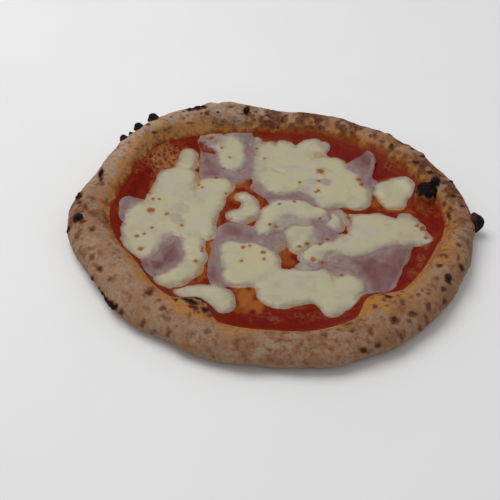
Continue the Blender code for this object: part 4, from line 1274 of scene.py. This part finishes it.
def make_crust(settings):
    """The turned, uneven dough with its blisters, crags and oven marks."""
    plain, rows = crust_rings()
    points = uneven(plain)
    radius = np.hypot(plain[:, 0], plain[:, 1])
    azimuth = np.arctan2(plain[:, 1], plain[:, 0])
    angle = tube_angle(radius, plain[:, 2])
    on_wall = radius > PLAIN_FOOT + CLEARANCE
    for at, tube_at, size, height in BLISTERS:
        centre, outward = rim_point(at, tube_at)
        distance = np.linalg.norm(points - centre, axis=1)
        points += outward * (on_wall * height * bell(distance, 0.5 * size))[:, None]
    normals = ring_normals(points, rows, SEGMENTS)
    seen = towards_eye(points, normals)
    pale = marked(points, [(*middle, 1.0) for middle in PALE_MIDDLES], "pale middles")
    burns = BURN_STRENGTH * marked(points, BURNS, "burns") * (1.0 - PALE_STRENGTH * pale)
    burnt = np.maximum(burns * seen, lips(azimuth, angle, points))
    free = smoothstep(0.4, 4.0, points[:, 2]) * smoothstep(PLAIN_FOOT + 0.5, PLAIN_FOOT + 4.0, radius)
    relief = crags(points, azimuth, angle, settings.crags / MM)
    relief += CHAR_RISE * smoothstep(0.7, 1.1, burnt) * (1.0 + noise("char", points))
    points += normals * (free * relief)[:, None]
    points[:, 2] = np.maximum(points[:, 2], 0.0)
    stain, smear = soaked(points, radius, azimuth, angle)
    stain = np.maximum(stain, marked(points, OIL_PATCHES, "oil patches") * seen)
    # Paler floury colour by azimuth: partly dusted flour, partly painted light on the far and far-left rim
    dust_and_light = np.clip(around(DUST_AND_LIGHT, azimuth) * (1.0 + noise("dust_and_light", points)), 0.0, 1.0)
    heat = browned(points, radius, azimuth, angle, burnt)
    poles = [[*RIM_CENTRE, FLOOR_HEIGHT], [*RIM_CENTRE, 0.0]]
    values = {
        "baked": np.append(heat, [0.0, 0.3]), "stain": np.append(stain, [0.0, 0.0]),
        "smear": np.append(smear, [1.0, 0.0]), "dust_and_light": np.append(dust_and_light, [0.0, 0.0]),
    }
    faces = closed_faces(rows, SEGMENTS)
    return make_piece("crust", np.concatenate([points, poles]), faces, crust_material(settings), values)


def make_knobs(settings):
    """Lumpy burnt balls half sunk in the wall: spheres varied by noise and spread towards their foot."""
    ball, one = unit_ball(KNOB_ROWS, KNOB_COLUMNS)
    points, faces, feet = [], [], []
    for number, (azimuth, angle, radius) in enumerate(KNOBS):
        centre, outward = rim_point(azimuth, angle)
        lumps = 1.0 + noise("knob lumps", ball, number)
        rise = ball @ outward
        spread = 1.0 + KNOB_SPREAD * smoothstep(0.5, -0.4, rise)
        shape = rise[:, None] * outward + (ball - rise[:, None] * outward) * spread[:, None]
        points.append(centre + outward * radius * KNOB_RISE + shape * (radius * lumps)[:, None])
        feet.append(smoothstep(0.6, -0.5, rise + noise("knob foot", ball, number)))
        faces += [part + number * len(ball) for part in one]
    values = {"foot": np.concatenate(feet)}
    return make_piece("burnt_knobs", np.concatenate(points), faces, knob_material(settings), values)


def make_blister(settings):
    """The big blister: an uneven ellipsoid, black above and browned and oily towards its foot."""
    ball, faces = unit_ball(2 * KNOB_ROWS, 2 * KNOB_COLUMNS)
    lumps = 1.0 + noise("blister lumps", ball)
    points = np.array(BLISTER_CENTRE) + ball * BLISTER_REACH * lumps[:, None]
    foot = smoothstep(0.2, -0.6, ball[:, 2])
    points[:, :2] += (points[:, :2] - BLISTER_CENTRE[:2]) * (FOOT_SPREAD * foot)[:, None]
    points[:, 1] -= FOOT_LEAN * foot
    points[:, 2] = np.maximum(points[:, 2], 0.5 * FLOOR_HEIGHT)
    cap = ball @ np.array(CAP_AXIS) + noise("blister cap", ball)
    ring = (0.45 + noise("blister ring", points)) * smoothstep(-0.75, 0.1, ball[:, 2])
    values = {
        "baked": np.maximum(1.2 * smoothstep(0.1, 0.42, cap), ring),
        "stain": np.full(len(points), 0.6),
        "smear": 0.85 * smoothstep(0.6, 0.0, ball[:, 2] + noise("blister smear", points)),
        "dust_and_light": np.zeros(len(points)),
    }
    return make_piece("burnt_blister", points, faces, crust_material(settings), values)


def pulp_depth(flat, relief):
    """How far the pulp sinks below the sauce's plain face: noise of two sizes, cut off above."""
    return relief * np.clip(0.35 - noise("pulp", at_level(flat)), 0.0, 1.0)


def dough_level(radius):
    """Level of the visible dough under the sauce: the slope, then the fillet."""
    corner, height = fillet()
    return np.where(radius < FILLET_START, slope_height(radius), np.interp(radius, corner, height))


def sauce_skin(flat, relief):
    """Level of the visible sauce: its thickness over the dough, thinned to a film at the edge."""
    radius = plain_radius(flat)
    thick = CLEARANCE + SAUCE_THICKNESS - pulp_depth(flat, relief)
    share = smoothstep(0.0, SAUCE_TAPER, SAUCE_EDGE * PLAIN_FOOT - radius)
    return dough_level(radius) + SAUCE_FILM + thick * share


def smear_share(flat, azimuth, climb):
    """How much sauce lies on the dough at a climb past the foot (negative inside it), its edge uneven."""
    width = (around(SMEAR_WIDTHS, azimuth) + SMEAR_RUN) * (1.0 + noise("smear edge", at_level(flat)))
    return smoothstep(1.0, 0.2, (climb + SMEAR_RUN) / np.maximum(width, 1.0))


def make_sauce(settings):
    """A turned sheet with pulpy relief, thinned to a film at its edge."""
    edge = SAUCE_EDGE * PLAIN_FOOT
    above = np.linspace(POLE_RADIUS, edge, SAUCE_ROWS)
    below = np.linspace(edge, POLE_RADIUS, SAUCE_UNDER_ROWS + 1)[1:]
    radii = np.concatenate([above, below])
    rows = len(radii)
    points = uneven(turned(radii, slope_height(radii), SAUCE_SEGMENTS))
    flat = points[:, :2].copy()
    radius = np.repeat(radii, SAUCE_SEGMENTS)
    azimuth = np.tile(np.linspace(0.0, math.tau, SAUCE_SEGMENTS, endpoint=False), rows)
    upper = np.repeat(np.arange(rows) < SAUCE_ROWS, SAUCE_SEGMENTS)
    to_edge = edge - radius
    share = smear_share(flat, azimuth, radius - PLAIN_FOOT)
    sunk = np.maximum(smoothstep(0.5, 0.2, share), smoothstep(2.4, 0.6, to_edge))
    skin = sauce_skin(flat, settings.pulp / MM) - SAUCE_DIP * sunk
    points[:, 2] = np.where(upper, skin, points[:, 2] - 0.5 * SAUCE_DIP)
    cheese = nearest_cheese(flat)
    thin = 0.6 * smoothstep(5.0, 0.0, to_edge * (1.0 + noise("thin edge", points)))
    thin += 0.35 * smoothstep(0.0, 0.9, noise("thin patches", points))
    thin += 0.55 * smoothstep(8.0, 0.0, cheese * (1.0 + noise("thin by cheese", points)))
    oil = 0.6 * smoothstep(3.0, 0.5, cheese) * smoothstep(-0.3, 0.5, noise("oil by cheese", points))
    values = {
        "thin": np.clip(thin, 0.0, 1.0),
        "bare": marked(points, BARE_PATCHES, "bare patches"),
        "oil": np.maximum(marked(points, OIL_SPOTS, "oil spots"), oil),
    }
    values = {key: np.append(value, [0.0, 0.0]) for key, value in values.items()}
    poles = [[*RIM_CENTRE, FLOOR_HEIGHT + CLEARANCE + SAUCE_THICKNESS], [*RIM_CENTRE, FLOOR_HEIGHT]]
    points = np.concatenate([points, poles])
    faces = closed_faces(rows, SAUCE_SEGMENTS)
    return make_piece("sauce", points, faces, sauce_material(settings), values, EDGE_CREASE)


def fold_height(flat, number, spread=0.0):
    """How far the folds lift a ham slice off the sauce, the folds widened by spread."""
    lift = np.zeros(len(flat))
    for slice_number, start, end, half_width, height in HAM_FOLDS:
        if slice_number == number:
            lift = np.maximum(lift, height * bell(to_segment(flat, start, end), half_width + spread))
    return lift


def topping_marks(flat, quads, top):
    """Specks, oil and sauce on a topping's upper face, seen along the line of sight."""
    points = np.column_stack([flat, top])
    seen = towards_eye(points, sheet_normals(flat, quads, top))
    specks = [
        (x, y, SPECK_WIDTH * size, SPECK_DEPTH * size, SPECK_STRENGTH * strength)
        for x, y, size, strength in SPECKS
    ]
    halo = HALO_STRENGTH * marked(points, specks, "halos")
    return {
        "speck": np.clip(marked(points, specks, "specks"), 0.0, 1.0) * seen,
        "oil": np.maximum(marked(points, OIL_SPOTS, "oil spots"), halo) * seen,
        "sauced": marked(points, SAUCE_TONGUES, "sauce tongues") * seen,
    }


def ham_skin(flat, number, depth, relief):
    """Level of a slice's upper face where it lies flat: sauce, folds and a thickness rounded at the edge."""
    edge = smoothstep(0.0, 1.6, depth)
    return sauce_skin(flat, relief) + HAM_GAP + fold_height(flat, number) + HAM_THICKNESS * (0.1 + 0.5 * edge)


def make_ham(number, settings, relief, material):
    """One wavy slice: a sheet over its polygon, free to wave where no cheese lies on it."""
    corners = np.array(HAM_SLICES[number])
    field = slice_field(number)
    region = sheet_grid(field, corners.min(axis=0) - HAM_MARGIN, corners.max(axis=0) + HAM_MARGIN)
    flat, quads, _ = region
    depth = np.maximum(-field(flat), 0.0)
    cheese = nearest_cheese(flat)
    level = at_level(flat)
    exposed = smoothstep(0.5, 7.0, cheese) * smoothstep(0.0, 3.0, depth)
    lift = settings.waves / MM * exposed * (0.3 + noise("ham waves", level, number))
    top = ham_skin(flat, number, depth, relief) + lift
    free = fold_height(flat, number) > FREE_LIFT
    bottom = np.where(free, top - FREE_THICKNESS, sauce_skin(flat, relief) - SUNK)
    rind = np.zeros(len(flat))
    for slice_number, line in HAM_RINDS:
        if slice_number == number:
            gaps = [to_segment(flat, start, end) for start, end in zip(line[:-1], line[1:])]
            rind = smoothstep(2.4, 0.8, np.min(gaps, axis=0) * (1.0 + noise("rind", level)))
    values = {
        **topping_marks(flat, quads, top), "rind": rind,
        "milky": smoothstep(8.0, -1.0, cheese * (1.0 + noise("milky", level))),
        "muscle": np.clip(0.5 + noise("muscle", level, number), 0.0, 1.0),
    }
    return sheet_mesh(f"ham_slice_{number + 1}", region, top, bottom, material, values)


def cheese_rest(flat):
    """The lowest that the thick cheese lies: on the sauce, or over the ham and its folds."""
    rest = slope_height(plain_radius(flat)) + CLEARANCE + SAUCE_THICKNESS + CHEESE_GAP
    height = rest.copy()
    for number, corners in enumerate(HAM_SLICES):
        cover = smoothstep(HAM_REACH + CHEESE_SPACING, HAM_REACH, polygon_field(corners)(flat))
        height = np.maximum(height, rest + cover * (HAM_LIFT + fold_height(flat, number, FOLD_SPREAD)))
    return height


def below_cheese(flat, relief):
    """Level of what is visible under the cheese's edge, and how far ham lies there, from 0 to 1."""
    ground = sauce_skin(flat, relief)
    over_ham = np.zeros(len(flat))
    for number in range(len(HAM_SLICES)):
        distance = slice_field(number)(flat)
        slice_top = ham_skin(flat, number, np.maximum(-distance, 0.0), relief)
        ground = np.where(distance < 0.6, np.maximum(ground, slice_top), ground)
        over_ham = np.maximum(over_ham, smoothstep(1.5, -3.0, distance))
    return ground, over_ham


def make_pool(number, settings, relief, material):
    """One melted pool: thick where its lobes lie close together, and a film on what is below elsewhere."""
    thick_field = ragged(lobes_field(CHEESE_POOLS[number]), CHEESE_RAGGED, CHEESE_SEED + number)
    before = [pool_field(other) for other in range(number)]
    field = trimmed(ragged(pool_field(number), CHEESE_RAGGED, CHEESE_SEED + number), before)
    lobes = np.array([lobe for part in (CHEESE_POOLS[number], *films_of(number)) for lobe in part], float)
    low = (lobes[:, :2] - lobes[:, 2:]).min(axis=0) - CHEESE_MARGIN
    high = (lobes[:, :2] + lobes[:, 2:]).max(axis=0) + CHEESE_MARGIN
    region = sheet_grid(field, low, high)
    flat, quads, _ = region
    depth = np.maximum(-field(flat), 0.0)
    level = at_level(flat)
    ground, over_ham = below_cheese(flat, relief)
    share = softened(thick_field, flat, low, high)
    body = smoothstep(0.32, 1.0, share) * smoothstep(0.0, 5.0, np.maximum(-thick_field(flat), 0.0))
    film = CHEESE_FILM + (CHEESE_EDGE - CHEESE_FILM) * smoothstep(0.0, 3.0, depth)
    thickness = CHEESE_HEIGHT + settings.sag / MM * noise("sag", level, number)
    top = ground + film + body * (np.maximum(cheese_rest(flat), ground) - ground + thickness)
    bottom = np.minimum(ground - SUNK, top - CHEESE_LEAST)
    wobble = noise("thickness", level)
    thin_marks = marked(np.column_stack([flat, top]), THIN_SPOTS, "thin spots")
    from_edge = depth * (1.0 + noise("pool edge", level))
    seam = np.zeros(len(flat))
    for other, others in enumerate(CHEESE_POOLS):
        if other != number:
            seam = np.maximum(seam, smoothstep(2.5, 0.8, lobes_field(others)(flat)))
    streaks = smoothstep(-0.2, 0.6, noise("seam streaks", level))
    values = {
        **topping_marks(flat, quads, top), "over_ham": over_ham,
        "thin": np.maximum(smoothstep(0.90, 0.42, share + wobble), thin_marks),
        "whey": smoothstep(1.02, 0.7, share + 1.5 * wobble),
        "rim": smoothstep(2.4, 0.2, from_edge) * (1.0 - over_ham),
        "faded": smoothstep(8.0, 0.3, from_edge) * over_ham,
    }
    oily = np.maximum(values["oil"], 0.7 * seam * streaks * smoothstep(2.5, 0.5, depth))
    values["oil"] = np.clip(oily, 0.0, 1.0)
    return sheet_mesh(f"mozzarella_pool_{number + 1}", region, top, bottom, material, values)


# Settings, operators and panel

def colour(name, description, default):
    """A colour that a user would change."""
    return FloatVectorProperty(
        name=name, description=description, subtype="COLOR", min=0.0, max=1.0, default=default,
    )


def length(name, description, default, most):
    """A small length in metres that a user would change, from nothing to the most that still works."""
    return FloatProperty(
        name=name, description=description, unit="LENGTH", subtype="DISTANCE", min=0.0, max=most, default=default,
    )


class CrustLook(bpy.types.PropertyGroup):
    """Sizes and colours of the crust."""
    flour: colour("Flour", "Floury, barely baked dough", (0.327, 0.215, 0.141))
    # Laid where the floury mask lies: partly dusted flour, partly painted light on the far and far-left rim
    dust_and_light: colour("Dust and light", "Flour dusted on the dough", (0.42, 0.315, 0.23))
    dough: colour("Dough", "Lightly baked dough", (0.284, 0.15, 0.081))
    toast: colour("Toast", "Browned dough", (0.16, 0.062, 0.03))
    scorch: colour("Scorch", "Dark brown dough round the char", (0.055, 0.02, 0.011))
    char: colour("Char", "Burnt dough", (0.007, 0.005, 0.0045))
    oil: colour("Oil", "Dough soaked with orange oil", (0.39, 0.165, 0.033))
    # The oily band made paler where the floury mask lies: partly floured oil, partly painted light on the far and
    # far-left rim
    butter_and_light: colour("Butter and light", "Floured dough soaked with oil", (0.50, 0.235, 0.075))
    soak: colour("Soak", "Dough soaked with orange sauce", (0.27, 0.075, 0.016))
    smear: colour("Smear", "Sauce baked onto the foot of the crust", (0.20, 0.026, 0.008))
    crags: length("Crags", "Height of the small relief", 0.0008, 0.003)
    grain: length("Grain", "Height of the floury grain", 0.0006, 0.002)


class SauceLook(bpy.types.PropertyGroup):
    """Sizes and colours of the sauce."""
    deep: colour("Deep", "Thick tomato sauce", (0.14, 0.0055, 0.0022))
    bright: colour("Bright", "Tomato pulp", (0.182, 0.008, 0.0025))
    thin: colour("Thin", "Sauce thinned over dough", (0.195, 0.018, 0.004))
    bare: colour("Bare", "Dough that shows through the sauce", (0.33, 0.16, 0.07))
    oil: colour("Oil", "Orange oil on the sauce", (0.33, 0.10, 0.016))
    pulp: length("Pulp", "Depth of the pulpy relief", 0.0006, 0.0012)


class HamLook(bpy.types.PropertyGroup):
    """Sizes and colours of the ham."""
    flesh: colour("Flesh", "Cooked ham", (0.207, 0.111, 0.113))
    deep: colour("Deep", "Darker muscle of the ham", (0.158, 0.056, 0.054))
    pale: colour("Pale", "Ham under a film of cheese", (0.27, 0.195, 0.185))
    rind: colour("Rind", "Pale rind of the ham", (0.27, 0.165, 0.13))
    oil: colour("Oil", "Orange oil on the ham", (0.28, 0.10, 0.03))
    speck: colour("Speck", "Browned speck", (0.17, 0.05, 0.012))
    sauce: colour("Sauce", "Sauce that runs over the ham", (0.17, 0.02, 0.006))
    waves: length("Waves", "Height of the slices' waves", 0.001, 0.003)


class CheeseLook(bpy.types.PropertyGroup):
    """Sizes and colours of the mozzarella."""
    cream: colour("Cream", "Thick melted mozzarella", (0.46, 0.415, 0.255))
    milk: colour("Milk", "Whiter curd", (0.44, 0.405, 0.285))
    whey: colour("Whey", "Paler cheese towards the edge", (0.405, 0.355, 0.25))
    film: colour("Film", "Thin edge of the melted cheese", (0.31, 0.245, 0.205))
    veil: colour("Veil", "Thin cheese through which ham shows", (0.27, 0.20, 0.19))
    flesh: colour("Flesh", "Ham at the film's edge", (0.215, 0.125, 0.122))
    rim: colour("Rim", "Edge of the cheese where it runs into the sauce", (0.23, 0.12, 0.075))
    oil: colour("Oil", "Orange oil on the cheese", (0.38, 0.175, 0.028))
    speck: colour("Speck", "Browned speck of cheese", (0.27, 0.075, 0.008))
    sauce: colour("Sauce", "Sauce that runs over the cheese", (0.17, 0.02, 0.006))
    sag: length("Sag", "Unevenness of the melted pools", 0.001, 0.003)


class StageLook(bpy.types.PropertyGroup):
    """Floor and light of the studio."""
    floor: colour("Floor", "Pale floor", (0.86, 0.86, 0.86))
    key_power: FloatProperty(
        name="Key light", description="Power of the large soft light", unit="POWER", min=0.0, max=500.0,
        default=12.6,
    )
    sky: FloatProperty(name="Sky light", description="Strength of the even light", min=0.0, max=5.0, default=0.46)


class PizzaLook(bpy.types.PropertyGroup):
    """All that a user would change on the pizza."""
    crust: PointerProperty(type=CrustLook)
    sauce: PointerProperty(type=SauceLook)
    ham: PointerProperty(type=HamLook)
    cheese: PointerProperty(type=CheeseLook)
    stage: PointerProperty(type=StageLook)


class HAMPIZZA_OT_camera(bpy.types.Operator):
    """Set up the camera"""
    bl_idname = "ham_pizza.camera"
    bl_label = "Camera"

    def execute(self, context):
        data = bpy.data.cameras.new("view")
        data.lens = LENS
        data.sensor_width = SENSOR
        data.clip_start, data.clip_end = CLIP_START, CLIP_END
        camera = bpy.data.objects.new("view", data)
        tilt = Matrix.Rotation(math.radians(90.0 - EYE_ELEVATION), 4, "X")
        roll = Matrix.Rotation(math.radians(EYE_ROLL), 4, "Z")
        camera.matrix_world = Matrix.Translation((eye() * MM).tolist()) @ tilt @ roll
        context.scene.collection.objects.link(camera)
        context.scene.camera = camera
        return {"FINISHED"}


class HAMPIZZA_OT_crust(bpy.types.Operator):
    """Build the crust over the dough"""
    bl_idname = "ham_pizza.crust"
    bl_label = "Crust"

    def execute(self, context):
        piece = make_crust(context.scene.pizza_look.crust)
        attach(piece, "root")
        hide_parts("dough")
        return {"FINISHED"}


class HAMPIZZA_OT_knobs(bpy.types.Operator):
    """Build the burnt knobs and the big blister of the crust"""
    bl_idname = "ham_pizza.knobs"
    bl_label = "Burnt knobs"

    def execute(self, context):
        look = context.scene.pizza_look.crust
        for piece in (make_knobs(look), make_blister(look)):
            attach(piece, "root")
            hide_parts("dough")
        return {"FINISHED"}


class HAMPIZZA_OT_sauce(bpy.types.Operator):
    """Build the tomato sauce"""
    bl_idname = "ham_pizza.sauce"
    bl_label = "Sauce"

    def execute(self, context):
        piece = make_sauce(context.scene.pizza_look.sauce)
        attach(piece, "root")
        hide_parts("tomato_sauce")
        return {"FINISHED"}


class HAMPIZZA_OT_ham(bpy.types.Operator):
    """Build the slices of ham"""
    bl_idname = "ham_pizza.ham"
    bl_label = "Ham"

    def execute(self, context):
        look = context.scene.pizza_look
        material = ham_material(look.ham)
        for number in range(len(HAM_SLICES)):
            piece = make_ham(number, look.ham, look.sauce.pulp / MM, material)
            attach(piece, "root")
            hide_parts(f"ham_{number + 1}")
        return {"FINISHED"}


class HAMPIZZA_OT_mozzarella(bpy.types.Operator):
    """Build the melted pools of mozzarella"""
    bl_idname = "ham_pizza.mozzarella"
    bl_label = "Mozzarella"

    def execute(self, context):
        look = context.scene.pizza_look
        material = cheese_material(look.cheese)
        for number in range(len(CHEESE_POOLS)):
            piece = make_pool(number, look.cheese, look.sauce.pulp / MM, material)
            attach(piece, "root")
            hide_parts(f"mozzarella_{number + 1}")
        return {"FINISHED"}


class HAMPIZZA_OT_stage(bpy.types.Operator):
    """Lay the floor and set the studio light"""
    bl_idname = "ham_pizza.stage"
    bl_label = "Stage"

    def execute(self, context):
        look = context.scene.pizza_look.stage
        low, high = np.full(2, -STAGE_HALF), np.full(2, STAGE_HALF)
        flat, rows, columns = square_grid(low, high, STAGE_SPACING)
        quads, _ = grid_cells(rows, columns, np.ones((rows - 1, columns - 1), bool))
        floor = make_piece("floor", at_level(flat), [quads], floor_material(look), {})
        data = bpy.data.lights.new("key", "AREA")
        data.shape = "DISK"
        data.size = KEY_WIDTH
        data.energy = look.key_power
        key = bpy.data.objects.new("key", data)
        key.matrix_world = looking(np.array(KEY_PLACE), np.zeros(3))
        context.scene.collection.objects.link(key)
        world = bpy.data.worlds.new("studio")
        world.use_nodes = True
        sky = world.node_tree.nodes["Background"]
        sky.inputs["Color"].default_value = (1.0, 1.0, 1.0, 1.0)
        sky.inputs["Strength"].default_value = look.sky
        context.scene.world = world
        context.scene.view_settings.view_transform = "Standard"
        return {"FINISHED"}


def looking(place, target):
    """Matrix of a light at a place whose -Z points to a target."""
    back = place - target
    back = back / np.linalg.norm(back)
    right = np.cross((0.0, 0.0, 1.0), back)
    right = right / np.linalg.norm(right)
    up = np.cross(back, right)
    columns = np.column_stack([right, up, back, place])
    return Matrix([*columns.tolist(), [0.0, 0.0, 0.0, 1.0]])


class HAMPIZZA_PT_sidebar(bpy.types.Panel):
    """Lists the pieces and their settings"""
    bl_label = "Ham pizza"
    bl_idname = "HAMPIZZA_PT_sidebar"
    bl_space_type = "VIEW_3D"
    bl_region_type = "UI"
    bl_category = "Ham pizza"

    def draw(self, context):
        look = context.scene.pizza_look
        for part in (look.crust, look.sauce, look.ham, look.cheese, look.stage):
            box = self.layout.box()
            for key in type(part).__annotations__:
                box.prop(part, key)
        for operator in OPERATORS:
            self.layout.operator(operator.bl_idname)


LOOKS = (CrustLook, SauceLook, HamLook, CheeseLook, StageLook, PizzaLook)
OPERATORS = (
    HAMPIZZA_OT_camera,
    HAMPIZZA_OT_crust,
    HAMPIZZA_OT_knobs,
    HAMPIZZA_OT_sauce,
    HAMPIZZA_OT_ham,
    HAMPIZZA_OT_mozzarella,
    HAMPIZZA_OT_stage,
)


def register():
    """Register the settings, the operators and the panel."""
    for kind in (*LOOKS, *OPERATORS, HAMPIZZA_PT_sidebar):
        bpy.utils.register_class(kind)
    bpy.types.Scene.pizza_look = PointerProperty(type=PizzaLook)


def unregister():
    """Undo what register did."""
    del bpy.types.Scene.pizza_look
    for kind in reversed((*LOOKS, *OPERATORS, HAMPIZZA_PT_sidebar)):
        bpy.utils.unregister_class(kind)


def main():
    """Build every piece in order."""
    register()
    bpy.ops.ham_pizza.camera()
    bpy.ops.ham_pizza.crust()
    bpy.ops.ham_pizza.knobs()
    bpy.ops.ham_pizza.sauce()
    bpy.ops.ham_pizza.ham()
    bpy.ops.ham_pizza.mozzarella()
    bpy.ops.ham_pizza.stage()


if __name__ == "__main__":
    main()
